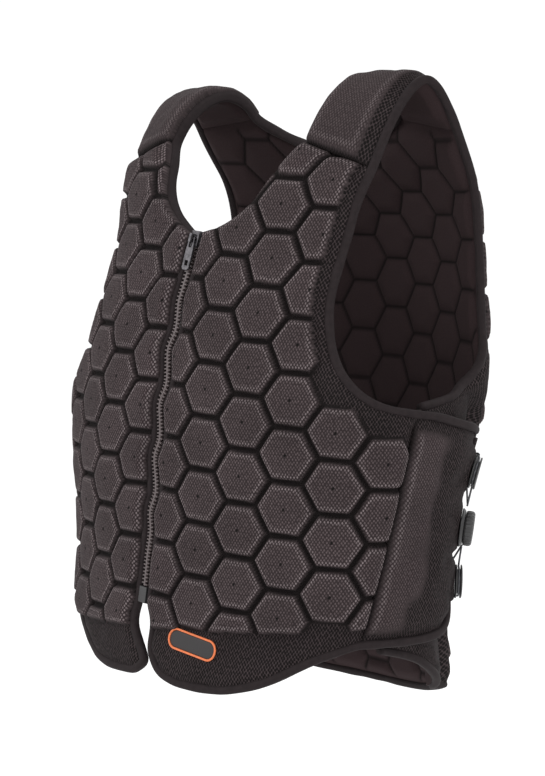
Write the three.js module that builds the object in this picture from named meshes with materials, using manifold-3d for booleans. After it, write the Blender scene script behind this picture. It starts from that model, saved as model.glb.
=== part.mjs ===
// Padded riding body protector with hexagon tiles, a front zip and laced side flaps.
// Millimetres, +Z up. The wearer faces -Y and the wearer's left side is +X.
// The origin lies between the shoulders, under the two shoulder pads.
import * as THREE from 'three';
import { mergeVertices } from 'three/addons/utils/BufferGeometryUtils.js';
import Module from 'manifold-3d';

const wasm = await Module();
wasm.setup();

// Body sections: half width, front and back depth, turn of the front and back arcs, corner radius
const RINGS = [
  { z: -545, halfWidth: 208, front: -180, back: 112, frontTurn: 27, backTurn: 26, corner: 78 },
  { z: -500, halfWidth: 207, front: -168, back: 104, frontTurn: 27, backTurn: 26, corner: 76 },
  { z: -460, halfWidth: 206, front: -160, back: 97, frontTurn: 27, backTurn: 26, corner: 74 },
  { z: -360, halfWidth: 214, front: -150, back: 99, frontTurn: 27, backTurn: 26, corner: 72 },
  { z: -270, halfWidth: 225, front: -143, back: 119, frontTurn: 27, backTurn: 26, corner: 70 },
  { z: -180, halfWidth: 210, front: -126, back: 128, frontTurn: 27, backTurn: 25, corner: 72 },
  { z: -120, halfWidth: 203, front: -107, back: 125, frontTurn: 27, backTurn: 22, corner: 70 },
  { z: -80, halfWidth: 206, front: -98, back: 110, frontTurn: 27, backTurn: 18, corner: 60 },
  { z: -36, halfWidth: 212, front: -76, back: 80, frontTurn: 27, backTurn: 15, corner: 34 },
  { z: -10, halfWidth: 215.5, front: -63, back: 62.3, frontTurn: 27, backTurn: 13.2, corner: 19 },
];

// Quilting: hexagon tiles in columns that run beside the zip
const COLUMN_PITCH = 45.8;
const ROW_PITCH = 46.6;
const TILE_INSET = 5.2;
const LATTICES = {
  left: { firstColumn: 7.2, firstRow: -295.4, staggeredParity: 1, lean: 0, drop: -0.05 },
  right: { firstColumn: 38.3, firstRow: -317.7, staggeredParity: 0, lean: -0.1, drop: -0.03 },
  back: { firstColumn: -20, firstRow: -308.5, staggeredParity: 1, lean: 0, drop: 0 },
};

// Depths below the ring surface, where the tile tops lie
const TILE_TOP = -0.8;
const TILE_CROWN = 0.4;
const GROOVE = -5.2;
const RIM_OUTER = -5.8;
const RIM_INNER = -12.8;
const INNER_GROOVE = -14.5;
const INNER_CROWN = -18.5;
const PLAIN_TOP = -1;
const PAD_INNER = -19;

// Edges: binding width and thickness, its clearance, and half of a sewn seam
const BINDING = 8;
const BINDING_THICK = 8.4;
const CLEARANCE = 0.7;
const HALF_SEAM = 0.5;
const OUTLINE_STEP = 28;
const CORNER_STEP = 12;
const ARMHOLE_STEP = 18;
const PAD_SEAM = 0.004;
const PAD_ROWS = [0, 0.05, 0.16, 0.28, 0.4, 0.5, 0.6, 0.72, 0.84, 0.95, 1];

// The zip leans to the wearer's right: arc of its middle at its top and bottom, and half its gap
const ZIP_ARCS = { top: -5, bottom: -22 };
const ZIP_GAP = 6;
const ZIP_TOP = -117;
const ZIP_BOTTOM = -446;

// Finished edges of a front, as arc length from the middle of the chest and height; vents and hems differ by side
const FRONTS = {
  left: {
    side: 1,
    vent: [[ZIP_GAP + ZIP_ARCS.bottom, ZIP_BOTTOM], [-10, -458], [-8, -470], [-5, -486], [13, -504], [40, -511]],
    hem: [[40, -511], [92, -511], [137, -500], [180, -479], [222, -466]],
  },
  right: {
    side: -1,
    vent: [[ZIP_GAP - ZIP_ARCS.bottom, ZIP_BOTTOM], [30, -464], [15, -482], [6, -496], [22, -508]],
    hem: [[22, -508], [62, -509], [92, -506], [125, -495], [151, -485], [185, -473], [222, -466]],
  },
};
const FLAP_SEAM = [[222, -466], [268, -263]];
const ARMHOLE_FRONT = [
  [268, -263], [221, -252], [185, -225], [167, -182], [164, -140], [171, -88], [176, -57],
];
const SHOULDER_SEAM = [[176, -57], [97, -35]];
const NECK_FRONT = [[97, -35], [84, -52], [63, -88], [36, -107]];
const TILE_FLOOR = -458;

// Side flap: its top and bottom edges, rear edge and how far its rear sinks inwards
const FLAP_TOP = [[268, -263], [290, -266], [323, -275], [374, -287]];
const FLAP_BOTTOM = [[222, -466], [290, -468], [330, -463], [354, -447], [374, -416]];
const FLAP_REAR = 374;
const FLAP_SINK = 6;
const FLAP_FALL = [270, 362];
const FLAP_EASE = [-6, 18];
const FLAP_THICK = 10;
const FLAP_RIM = 2.5;
const FLAP_RIM_THICK = 7;
const WING_DROP = 12;
const WING_FOOT = { arc: 191, z: -325, lean: 0.186, rise: 12 };
const WING_THICK = 8;

// Finished edges of the back, as arc length from the spine and height
const NECK_BACK = {
  left: [[100, -10], [84, -15], [62, -24], [34, -34], [0, -40]],
  right: [[100, -10], [82, -20], [62, -29], [34, -37], [0, -40]],
};
const SEAM_BACK = [[186, -22], [100, -10]];
const ARMHOLE_BACK = [
  [308, -258], [280, -253], [250, -246], [220, -232], [199, -205], [190, -172], [186, -132], [184, -90],
  [186, -22],
];
const WING_FRONT = [[300, -475], [308, -258]];
const BACK_HEM = [[0, -542], [62, -541], [112, -535], [160, -521], [234, -497], [270, -483], [300, -475]];
const BACK_TILE_HALF = 138;
const BACK_TILE_FLOOR = -498;
const TILE_RAMP = 6;
const SMALLEST_TILE = 140;

// Shoulder pads: pull of the arch at the neck side and the arm side
const ARCHES = { left: { neck: 217, arm: 279 }, right: { neck: 169, arm: 204 } };

// Zip
const CHAIN_HALF = 4.2;
const TAPE_HALF = 5.5;
const TAPE_IN = 0.8;
const TAPE_DEPTHS = [-10.8, -9.6];
const CHAIN_DEPTHS = [-9.2, -6.2];
const ZIP_STEPS = 14;
const SLIDER_Z = -122;
const SLIDER_LENGTH = 15;
const SLIDER_HALF = 5.4;
const SLIDER_PLATE = [-5.7, -4.2];
const BRIDGE_HALF = 1.5;
const PULL_DEPTH = -2.3;
const PULL_LENGTH = 30;
const PULL_WIDTH = 10;
const PULL_THICK = 2;
const BOX_LENGTH = 15;

// Lacing: dial, half-moon guides and cord
const DIAL = { arc: 352, z: -374 };
const DIAL_BASE_RADIUS = 17;
const DIAL_BASE_HEIGHT = 3;
const KNOB_RADIUS = 15.5;
const KNOB_HEIGHT = 8;
const DIAL_SIDES = 18;
const GUIDE_RADIUS = 15;
const GUIDE_CORE = 11;
const GUIDE_PLATE = 1.5;
const GUIDE_SLOT = 3;
const GUIDE_OFFSET = 49;
const FLAP_GUIDE_ARC = 359;
const BACK_GUIDE_ARC = 390;
const LACE_RADIUS = 0.9;

// Badge on the left hem band
const BADGE = { arc: 55, z: -473, length: 58, height: 19, tilt: -7, rim: 2, lift: 0.1 };

const MATERIALS = {
  mesh: { color: 0x463e3e, roughness: 0.95, metalness: 0 },
  binding: { color: 0x3a3538, roughness: 0.85, metalness: 0 },
  tape: { color: 0x1d1b1c, roughness: 0.9, metalness: 0 },
  moulded: { color: 0x2b2a2c, roughness: 0.45, metalness: 0 },
  metal: { color: 0x55565a, roughness: 0.35, metalness: 1 },
  lace: { color: 0x2a2a2c, roughness: 0.6, metalness: 0 },
  rubber: { color: 0x2e2c2e, roughness: 0.6, metalness: 0 },
  orange: { color: 0xd0643a, roughness: 0.6, metalness: 0 },
};

const group = new THREE.Group();

function addMesh(name, geometry, look, parent = group) {
  const mesh = new THREE.Mesh(geometry, new THREE.MeshStandardMaterial(MATERIALS[look]));
  mesh.name = name;
  parent.add(mesh);
  return mesh;
}

function smoothstep(from, to, value) {
  return THREE.MathUtils.smoothstep(value, from, to);
}

// Body surface

// Cubic through the ring rows, with each row's slope taken from its two neighbours
function ringValue(key, z) {
  const height = THREE.MathUtils.clamp(z, RINGS[0].z, RINGS.at(-1).z);
  const secant = (i) => (RINGS[i + 1][key] - RINGS[i][key]) / (RINGS[i + 1].z - RINGS[i].z);
  const slope = (i) => {
    if (i === 0) return secant(0);
    if (i === RINGS.length - 1) return secant(i - 1);
    const below = RINGS[i].z - RINGS[i - 1].z;
    const above = RINGS[i + 1].z - RINGS[i].z;
    return (secant(i - 1) * above + secant(i) * below) / (above + below);
  };
  let i = RINGS.findIndex((row) => row.z >= height) - 1;
  i = Math.max(i, 0);
  const span = RINGS[i + 1].z - RINGS[i].z;
  const t = (height - RINGS[i].z) / span;
  return (2 * t ** 3 - 3 * t ** 2 + 1) * RINGS[i][key] + (t ** 3 - 2 * t ** 2 + t) * span * slope(i)
    + (3 * t ** 2 - 2 * t ** 3) * RINGS[i + 1][key] + (t ** 3 - t ** 2) * span * slope(i + 1);
}

// A ring is a front arc, a corner arc, a straight side, a corner arc and a back arc
function ringAt(z) {
  const ring = { halfWidth: 0, front: 0, back: 0, frontTurn: 0, backTurn: 0, corner: 0 };
  for (const key of Object.keys(ring)) ring[key] = ringValue(key, z);
  const frontTurn = THREE.MathUtils.degToRad(ring.frontTurn);
  const backTurn = THREE.MathUtils.degToRad(ring.backTurn);
  const arcRadius = (turn) => (ring.halfWidth - ring.corner * (1 - Math.sin(turn))) / Math.sin(turn);
  const frontRadius = arcRadius(frontTurn);
  const backRadius = arcRadius(backTurn);
  const frontCorner = ring.front + frontRadius - (frontRadius - ring.corner) * Math.cos(frontTurn);
  const backCorner = ring.back - backRadius + (backRadius - ring.corner) * Math.cos(backTurn);
  const ends = [frontRadius * frontTurn];
  ends.push(ends[0] + ring.corner * (Math.PI / 2 - frontTurn));
  ends.push(ends[1] + backCorner - frontCorner);
  ends.push(ends[2] + ring.corner * (Math.PI / 2 - backTurn));
  ends.push(ends[3] + backRadius * backTurn);
  return {
    ...ring, frontTurn, backTurn, frontRadius, backRadius, frontCorner, backCorner, ends, half: ends[4],
  };
}

// Point at an arc length from the front centre, on the ring at height z
function bodyPoint(arc, z) {
  const g = ringAt(z);
  const s = Math.abs(arc);
  const side = arc < 0 ? -1 : 1;
  const cornerX = (heading) => g.halfWidth - g.corner * (1 - Math.sin(heading));
  if (s < g.ends[0]) {
    const h = s / g.frontRadius;
    const y = g.front + g.frontRadius * (1 - Math.cos(h));
    return new THREE.Vector3(side * g.frontRadius * Math.sin(h), y, z);
  }
  if (s < g.ends[1]) {
    const h = g.frontTurn + (s - g.ends[0]) / g.corner;
    return new THREE.Vector3(side * cornerX(h), g.frontCorner - g.corner * Math.cos(h), z);
  }
  if (s < g.ends[2]) return new THREE.Vector3(side * g.halfWidth, g.frontCorner + s - g.ends[1], z);
  if (s < g.ends[3]) {
    const h = Math.PI / 2 + (s - g.ends[2]) / g.corner;
    return new THREE.Vector3(side * cornerX(h), g.backCorner - g.corner * Math.cos(h), z);
  }
  const h = Math.PI - g.backTurn + (s - g.ends[3]) / g.backRadius;
  return new THREE.Vector3(side * g.backRadius * Math.sin(h), g.back - g.backRadius * (1 + Math.cos(h)), z);
}

// Arc of the zip's middle at a height, and its lean in radians
function zipArc(z) {
  return THREE.MathUtils.mapLinear(z, ZIP_TOP, ZIP_BOTTOM, ZIP_ARCS.top, ZIP_ARCS.bottom);
}

const ZIP_LEAN = Math.atan2(ZIP_ARCS.top - ZIP_ARCS.bottom, ZIP_TOP - ZIP_BOTTOM);

// Edge of a front along the zip, from a top height down
function zipEdge(side, top = ZIP_TOP) {
  return [top, ZIP_BOTTOM].map((z) => [ZIP_GAP + side * zipArc(z), z]);
}

function neckFrontEdge(side) {
  return [...NECK_FRONT, zipEdge(side)[0]];
}

// Arc of the seam between a front and its flap at a height
function flapSeamArc(z) {
  const [[low, bottom], [high, top]] = FLAP_SEAM;
  return THREE.MathUtils.mapLinear(z, bottom, top, low, high);
}

// Fall of the flap towards its rear edge, and of the back panel's wing under the flap
function flapSink(arc) {
  return FLAP_SINK * smoothstep(...FLAP_FALL, arc);
}

// Arc from the spine at which the wing starts to rise to the back's full thickness
function wingFoot(z) {
  return WING_FOOT.arc + (z - WING_FOOT.z) * WING_FOOT.lean;
}

function wingSink(backArc, z) {
  const foot = wingFoot(z);
  const sunk = smoothstep(foot - WING_FOOT.rise, foot, Math.abs(backArc));
  return (WING_DROP + flapSink(ringAt(z).half - Math.abs(backArc))) * sunk;
}

// A sheet gives points of a surface with an outward depth, and says which way its u, v axes turn
function makeSheet(point, turn, step) {
  const normal = (u, v) => {
    const du = point(u + step, v).sub(point(u - step, v));
    const dv = point(u, v + step).sub(point(u, v - step));
    return du.cross(dv).normalize().multiplyScalar(turn);
  };
  const at = (u, v, depth) => point(u, v).addScaledVector(normal(u, v), depth);
  return { point, normal, at, turn };
}

const MIRROR = new THREE.Vector3(-1, 1, 1);

function frontSheet(side) {
  return makeSheet((u, v) => bodyPoint(side * u, v), side, 0.5);
}

const backSheet = makeSheet((u, v) => {
  const arc = ringAt(v).half - Math.abs(u);
  return bodyPoint(u < 0 ? -arc : arc, v);
}, -1, 0.5);

// Shoulder pad: a cubic arch from the front seam to the back seam, over the ridge of the shoulder
function padPoint(arch, across, along) {
  const mix = (ends) => [
    THREE.MathUtils.lerp(ends[0][0], ends[1][0], across),
    THREE.MathUtils.lerp(ends[0][1], ends[1][1], across),
  ];
  const [frontArc, frontZ] = mix([SHOULDER_SEAM[1], SHOULDER_SEAM[0]]);
  const [backArc, backZ] = mix([SEAM_BACK[1], SEAM_BACK[0]]);
  const start = frontLeft.point(frontArc, frontZ);
  const end = backSheet.point(backArc, backZ);
  const pull = THREE.MathUtils.lerp(arch.neck, arch.arm, across);
  const rise = start.clone().sub(frontLeft.point(frontArc, frontZ - 6)).normalize().multiplyScalar(pull);
  const fall = backSheet.point(backArc, backZ - 6).sub(end).normalize().multiplyScalar(pull);
  const t = along;
  return start.multiplyScalar(2 * t ** 3 - 3 * t ** 2 + 1)
    .addScaledVector(rise, t ** 3 - 2 * t ** 2 + t)
    .addScaledVector(end, 3 * t ** 2 - 2 * t ** 3)
    .addScaledVector(fall, t ** 3 - t ** 2);
}

const frontLeft = frontSheet(1);

function padSheet(side) {
  const arch = side < 0 ? ARCHES.right : ARCHES.left;
  const mirrored = (u, v) => {
    const point = padPoint(arch, u, v);
    return side < 0 ? point.multiply(MIRROR) : point;
  };
  return makeSheet(mirrored, side, 0.01);
}

// Outlines in pattern space

function vectors(rows) {
  return rows.map(([u, v]) => new THREE.Vector2(u, v));
}

// Smooth edge through the rows, with points about one step apart
function smoothEdge(rows, step = OUTLINE_STEP) {
  const curve = new THREE.SplineCurve(vectors(rows));
  return curve.getSpacedPoints(Math.max(1, Math.round(curve.getLength() / step)));
}

// Closed outline from edges given in turn: each point keeps the inset of the edge that leaves it
function joinEdges(edges) {
  const points = [];
  const insets = [];
  for (const { line, inset } of edges) {
    for (const point of line.slice(0, -1)) {
      points.push(point);
      insets.push(inset);
    }
  }
  return { points, insets };
}

function leftNormal(from, to) {
  const along = to.clone().sub(from).normalize();
  return new THREE.Vector2(-along.y, along.x);
}

// Each edge moved to its left by its own inset, with neighbours met where the moved lines cross
function insetOutline({ points, insets }) {
  const count = points.length;
  return points.map((point, i) => {
    const before = points[(i + count - 1) % count];
    const after = points[(i + 1) % count];
    const n1 = leftNormal(before, point);
    const n2 = leftNormal(point, after);
    const d1 = insets[(i + count - 1) % count];
    const d2 = insets[i];
    const cross = n1.x * n2.y - n1.y * n2.x;
    if (Math.abs(cross) < 0.15) {
      const mean = n1.clone().add(n2).normalize();
      return point.clone().addScaledVector(mean, (d1 + d2) / 2);
    }
    const shift = new THREE.Vector2(d1 * n2.y - d2 * n1.y, d2 * n1.x - d1 * n2.x);
    return point.clone().addScaledVector(shift, 1 / cross);
  });
}

// Part of a polygon that lies inside a convex outline turned anticlockwise
function clipPolygon(subject, convex) {
  let result = subject;
  convex.forEach((from, i) => {
    const to = convex[(i + 1) % convex.length];
    const inward = leftNormal(from, to);
    const depth = (point) => (point.x - from.x) * inward.x + (point.y - from.y) * inward.y;
    const input = result;
    result = [];
    input.forEach((point, k) => {
      const next = input[(k + 1) % input.length];
      const a = depth(point);
      const b = depth(next);
      if (a >= 0) result.push(point);
      if (a * b < 0) result.push(point.clone().lerp(next, a / (a - b)));
    });
  });
  return result;
}

// A clipped outline can come back as several areas joined by doubled edges: this parts them
function splitLoops(polygon) {
  const key = (point) => `${point.x.toFixed(5)} ${point.y.toFixed(5)}`;
  const edges = new Map();
  polygon.forEach((from, i) => {
    const to = polygon[(i + 1) % polygon.length];
    const span = to.clone().sub(from);
    const stops = polygon.filter((point) => {
      const offset = point.clone().sub(from);
      const t = offset.dot(span) / span.lengthSq();
      return t > 1e-6 && t < 1 - 1e-6 && Math.abs(offset.cross(span)) < 1e-6 * span.length();
    });
    stops.sort((a, b) => a.distanceTo(from) - b.distanceTo(from));
    const line = [from, ...stops, to];
    line.slice(1).forEach((end, k) => {
      const start = line[k];
      if (key(start) === key(end)) return;
      const reverse = `${key(end)} ${key(start)}`;
      if (edges.has(reverse)) edges.delete(reverse);
      else edges.set(`${key(start)} ${key(end)}`, [start, end]);
    });
  });
  const loops = [];
  const left = new Map([...edges.values()].map(([start, end]) => [key(start), [start, end]]));
  while (left.size) {
    const loop = [];
    let step = left.values().next().value;
    while (step) {
      left.delete(key(step[0]));
      loop.push(step[0]);
      step = left.get(key(step[1]));
    }
    loops.push(loop);
  }
  return loops.filter((loop) => polygonArea(loop) > 1e-3);
}

// A convex cell parted along straight lines, each given by a point and its direction
function cutCell(cell, lines) {
  const far = 2000;
  return lines.reduce((parts, { point, along }) => parts.flatMap((part) => {
    const ahead = new THREE.Vector2(along[0], along[1]).normalize().multiplyScalar(far);
    const aside = new THREE.Vector2(-ahead.y, ahead.x);
    const base = new THREE.Vector2(point[0], point[1]);
    const halfPlane = (sign) => [
      base.clone().addScaledVector(ahead, -sign),
      base.clone().addScaledVector(ahead, sign),
      base.clone().addScaledVector(ahead, sign).addScaledVector(aside, sign),
      base.clone().addScaledVector(ahead, -sign).addScaledVector(aside, sign),
    ];
    const pieces = [1, -1].map((sign) => clipPolygon(part, halfPlane(sign)));
    return pieces.filter((piece) => polygonArea(piece) > 1e-6);
  }), [cell]);
}

function polygonArea(points) {
  return points.length < 3 ? 0 : THREE.ShapeUtils.area(points);
}

function rectangle(left, bottom, right, top) {
  return vectors([[left, bottom], [right, bottom], [right, top], [left, top]]);
}

// Hexagon with flat top and bottom, moved in from its cell by an inset
function hexagon(lattice, middle, inset) {
  const half = ROW_PITCH / 2 - inset;
  const scale = half / (ROW_PITCH / 2);
  const wide = COLUMN_PITCH * (2 / 3) * scale;
  const near = wide / 2;
  const corners = vectors([[wide, 0], [near, half], [-near, half], [-wide, 0], [-near, -half], [near, -half]]);
  return corners.map((corner) => latticePoint(lattice, corner.add(middle)));
}

// Point of the pattern at an offset from the lattice's first tile, with its columns leaning and its rows dropping
function latticePoint(lattice, offset) {
  return new THREE.Vector2(
    lattice.firstColumn + offset.x + lattice.lean * offset.y,
    lattice.firstRow + offset.y + lattice.drop * offset.x,
  );
}

// Offsets of the tiles whose middles may lie in an outline's box
function latticeMiddles(lattice, outline) {
  const box = new THREE.Box2().setFromPoints(outline);
  const middles = [];
  const firstColumn = Math.floor((box.min.x - lattice.firstColumn) / COLUMN_PITCH) - 2;
  const lastColumn = Math.ceil((box.max.x - lattice.firstColumn) / COLUMN_PITCH) + 2;
  const firstRow = Math.floor((box.min.y - lattice.firstRow) / ROW_PITCH) - 2;
  const lastRow = Math.ceil((box.max.y - lattice.firstRow) / ROW_PITCH) + 2;
  for (let column = firstColumn; column <= lastColumn; column += 1) {
    const stagger = Math.abs(column + lattice.staggeredParity) % 2 ? ROW_PITCH / 2 : 0;
    for (let row = firstRow; row <= lastRow; row += 1) {
      middles.push(new THREE.Vector2(column * COLUMN_PITCH, row * ROW_PITCH + stagger));
    }
  }
  return middles;
}

// Closed shells

// Collects the vertices and triangles of one solid, with shared vertices found by key
class ShellBuilder {
  constructor() {
    this.positions = [];
    this.triangles = [];
    this.lookup = new Map();
  }

  vertex(key, makePoint) {
    if (!this.lookup.has(key)) {
      this.lookup.set(key, this.positions.length / 3);
      this.positions.push(...makePoint().toArray());
    }
    return this.lookup.get(key);
  }

  triangle(a, b, c, flip) {
    this.triangles.push(...(flip ? [a, c, b] : [a, b, c]));
  }

  geometry() {
    const geometry = new THREE.BufferGeometry();
    geometry.setAttribute('position', new THREE.Float32BufferAttribute(this.positions, 3));
    geometry.setIndex(this.triangles);
    geometry.computeVertexNormals();
    return geometry;
  }
}

// Edges that only one of the triangles uses, in that triangle's direction
function openEdges(triangles) {
  const edges = new Map();
  for (let i = 0; i < triangles.length; i += 3) {
    for (let k = 0; k < 3; k += 1) {
      const from = triangles[i + k];
      const to = triangles[i + (k + 1) % 3];
      if (edges.has(`${to} ${from}`)) edges.delete(`${to} ${from}`);
      else edges.set(`${from} ${to}`, [from, to]);
    }
  }
  return [...edges.values()];
}

// Triangles of a polygon with at most one hole, all turned anticlockwise
function fillPolygon(contour, hole) {
  const all = hole ? [...contour, ...hole] : contour;
  return THREE.ShapeUtils.triangulateShape([...contour], hole ? [[...hole]] : [])
    .map((face) => face.map((i) => all[i]))
    .map((face) => (polygonArea(face) < 0 ? [face[0], face[2], face[1]] : face));
}

function fanPolygon(contour, centre) {
  return contour.map((point, i) => [centre, point, contour[(i + 1) % contour.length]]);
}

// Quilted shell: raised tiles and grooves outside, softer tiles inside, a rim along the outline
function quiltedShell({ sheet, outline, tileOutline, lattice, cuts, sink = () => 0 }) {
  const shell = new ShellBuilder();
  const flip = sheet.turn < 0;
  const place = (face, level) => (point) => {
    const key = `${point.x.toFixed(3)} ${point.y.toFixed(3)}`;
    return shell.vertex(`${face} ${key}`, () => sheet.at(point.x, point.y, level(point) - sink(point)));
  };
  const onRim = makeRimTest(outline);
  const thin = (point) => (sink(point) > 1 ? RIM_OUTER - WING_THICK : INNER_GROOVE);
  const outer = place('outer', (point) => (onRim(point) ? RIM_OUTER : GROOVE));
  const inner = place('inner', (point) => (onRim(point) ? RIM_INNER : thin(point)));
  const top = place('outer', () => TILE_TOP);
  const crown = place('outer', () => TILE_CROWN);
  const bulge = place('inner', () => INNER_CROWN);
  const add = (faces, pick, turned) => {
    for (const face of faces) shell.triangle(...face.map(pick), turned !== flip);
  };
  for (const middle of latticeMiddles(lattice, outline)) {
    const centre = latticePoint(lattice, middle);
    const tiles = splitLoops(clipPolygon(tileOutline, hexagon(lattice, middle, TILE_INSET)))
      .filter((loop) => polygonArea(loop) > SMALLEST_TILE);
    const whole = cutCell(hexagon(lattice, middle, 0), cuts);
    const cells = whole.flatMap((part) => splitLoops(clipPolygon(outline, part)));
    for (const cell of cells) {
      const tile = tiles.find((loop) => insidePolygon(loop[0], cell));
      if (tile) {
        add(fillPolygon(cell, tile), (point) => (tile.includes(point) ? top(point) : outer(point)), false);
        const peak = (point) => (point === centre ? crown(point) : top(point));
        add(tile.length === 6 ? fanPolygon(tile, centre) : fillPolygon(tile), peak, false);
      } else {
        add(fillPolygon(cell), outer, false);
      }
      const swollen = tile && tile.length === 6 && cell.length === 6;
      const deep = (point) => (point === centre ? bulge(point) : inner(point));
      add(swollen ? fanPolygon(cell, centre) : fillPolygon(cell), deep, true);
    }
  }
  return closeRim(shell);
}

// Even-odd test of a point against a polygon
function insidePolygon(point, polygon) {
  let inside = false;
  polygon.forEach((a, i) => {
    const b = polygon[(i + 1) % polygon.length];
    if ((a.y > point.y) === (b.y > point.y)) return;
    if (point.x < a.x + ((b.x - a.x) * (point.y - a.y)) / (b.y - a.y)) inside = !inside;
  });
  return inside;
}

// Tells whether a point lies on one of the outline's straight stretches
function makeRimTest(outline) {
  const stretches = outline.map((point, i) => new THREE.Line3(
    new THREE.Vector3(point.x, point.y, 0),
    new THREE.Vector3(outline[(i + 1) % outline.length].x, outline[(i + 1) % outline.length].y, 0),
  ));
  const nearest = new THREE.Vector3();
  return (point) => stretches.some((line) => {
    const probe = new THREE.Vector3(point.x, point.y, 0);
    return line.closestPointToPoint(probe, true, nearest).distanceTo(probe) < 0.01;
  });
}

// Walls between the outer and the inner face, along the edges that are still open
function closeRim(shell) {
  const names = [...shell.lookup.keys()];
  const twin = (index) => shell.lookup.get(names[index].replace('outer', 'inner'));
  const outerEdges = openEdges(shell.triangles).filter(([from]) => names[from].startsWith('outer'));
  for (const [from, to] of outerEdges) {
    shell.triangle(to, from, twin(from), false);
    shell.triangle(to, twin(from), twin(to), false);
  }
  return shell.geometry();
}

// Shell over a grid of pattern points, with an outer and an inner depth at each
function gridShell(sheet, columns, rows, locate, outerDepth, innerDepth) {
  const shell = new ShellBuilder();
  const flip = sheet.turn < 0;
  const corner = (face, depth) => (i, j) => shell.vertex(`${face} ${i} ${j}`, () => {
    const [u, v] = locate(columns[i], rows[j]);
    return sheet.at(u, v, depth(columns[i], rows[j]));
  });
  const faces = [
    { pick: corner('outer', outerDepth), turned: false },
    { pick: corner('inner', innerDepth), turned: true },
  ];
  for (const { pick, turned } of faces) {
    for (let i = 0; i + 1 < columns.length; i += 1) {
      for (let j = 0; j + 1 < rows.length; j += 1) {
        shell.triangle(pick(i, j), pick(i + 1, j), pick(i + 1, j + 1), turned !== flip);
        shell.triangle(pick(i, j), pick(i + 1, j + 1), pick(i, j + 1), turned !== flip);
      }
    }
  }
  return closeRim(shell);
}

// Front panels

function frontEdges({ side, vent, hem }) {
  const bound = BINDING + CLEARANCE;
  return [
    { line: smoothEdge(vent), inset: bound, band: 2 },
    { line: smoothEdge(hem), inset: bound, band: 4 },
    { line: vectors(FLAP_SEAM), inset: HALF_SEAM, band: 3 },
    { line: smoothEdge(ARMHOLE_FRONT), inset: bound, band: 13 },
    { line: vectors(SHOULDER_SEAM), inset: HALF_SEAM, band: 3 },
    { line: smoothEdge(neckFrontEdge(side)), inset: bound, band: 2 },
    { line: vectors(zipEdge(side)), inset: bound, band: 1.5 },
  ];
}

function panelOutlines(edges, tileArea) {
  const finished = joinEdges(edges);
  const outline = insetOutline(finished);
  const bands = joinEdges(edges.map(({ line, band }) => ({ line, inset: band }))).insets;
  const tileOutline = clipPolygon(insetOutline({ points: outline, insets: bands }), tileArea);
  return { outline, tileOutline };
}

function frontPanel(front, lattice) {
  const tileArea = rectangle(ZIP_ARCS.bottom, TILE_FLOOR, FLAP_REAR, 0);
  const { outline, tileOutline } = panelOutlines(frontEdges(front), tileArea);
  const cuts = [{ point: [0, TILE_FLOOR - TILE_RAMP], along: [1, 0] }];
  return quiltedShell({ sheet: frontSheet(front.side), outline, tileOutline, lattice, cuts });
}

// Back panel with thin wings that run forward under the side flaps

function backEdges() {
  const bound = BINDING + CLEARANCE;
  const half = (neck) => [
    { line: smoothEdge(BACK_HEM), inset: bound, band: 4 },
    { line: vectors(WING_FRONT), inset: HALF_SEAM, band: 4 },
    { line: smoothEdge(ARMHOLE_BACK, ARMHOLE_STEP), inset: bound, band: 13 },
    { line: vectors(SEAM_BACK), inset: HALF_SEAM, band: 3 },
    { line: smoothEdge(neck), inset: bound, band: 2 },
  ];
  const mirrored = half(NECK_BACK.right).map(({ line, ...rest }) => ({
    line: line.map((point) => new THREE.Vector2(-point.x, point.y)).reverse(),
    ...rest,
  }));
  return [...half(NECK_BACK.left), ...mirrored.reverse()];
}

function backPanel() {
  const tileArea = rectangle(-BACK_TILE_HALF, BACK_TILE_FLOOR, BACK_TILE_HALF, 0);
  const { outline, tileOutline } = panelOutlines(backEdges(), tileArea);
  const sink = (point) => wingSink(point.x, point.y);
  const cuts = [{ point: [0, BACK_TILE_FLOOR - TILE_RAMP], along: [1, 0] }];
  for (const side of [1, -1]) {
    const foot = side * WING_FOOT.arc;
    const along = [side * WING_FOOT.lean, 1];
    cuts.push({ point: [foot, WING_FOOT.z], along });
    cuts.push({ point: [foot - side * WING_FOOT.rise, WING_FOOT.z], along });
    cuts.push({ point: [side * (BACK_TILE_HALF + TILE_RAMP), 0], along: [0, 1] });
  }
  return quiltedShell({ sheet: backSheet, outline, tileOutline, lattice: LATTICES.back, cuts, sink });
}

// Side flaps

// Height of a finished edge, moved in by an inset, at an arc length
function edgeHeight(rows, arc, inset = 0) {
  const curve = new THREE.SplineCurve(vectors(rows));
  const line = curve.getPoints(60).map((point, i, all) => {
    const normal = leftNormal(all[Math.max(i - 1, 0)], all[Math.min(i + 1, all.length - 1)]);
    return point.clone().addScaledVector(normal, inset);
  });
  const k = Math.max(1, line.findIndex((point) => point.x >= arc));
  const a = line[k - 1];
  const b = line[k];
  return THREE.MathUtils.lerp(a.y, b.y, THREE.MathUtils.clamp((arc - a.x) / (b.x - a.x), 0, 1));
}

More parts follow.
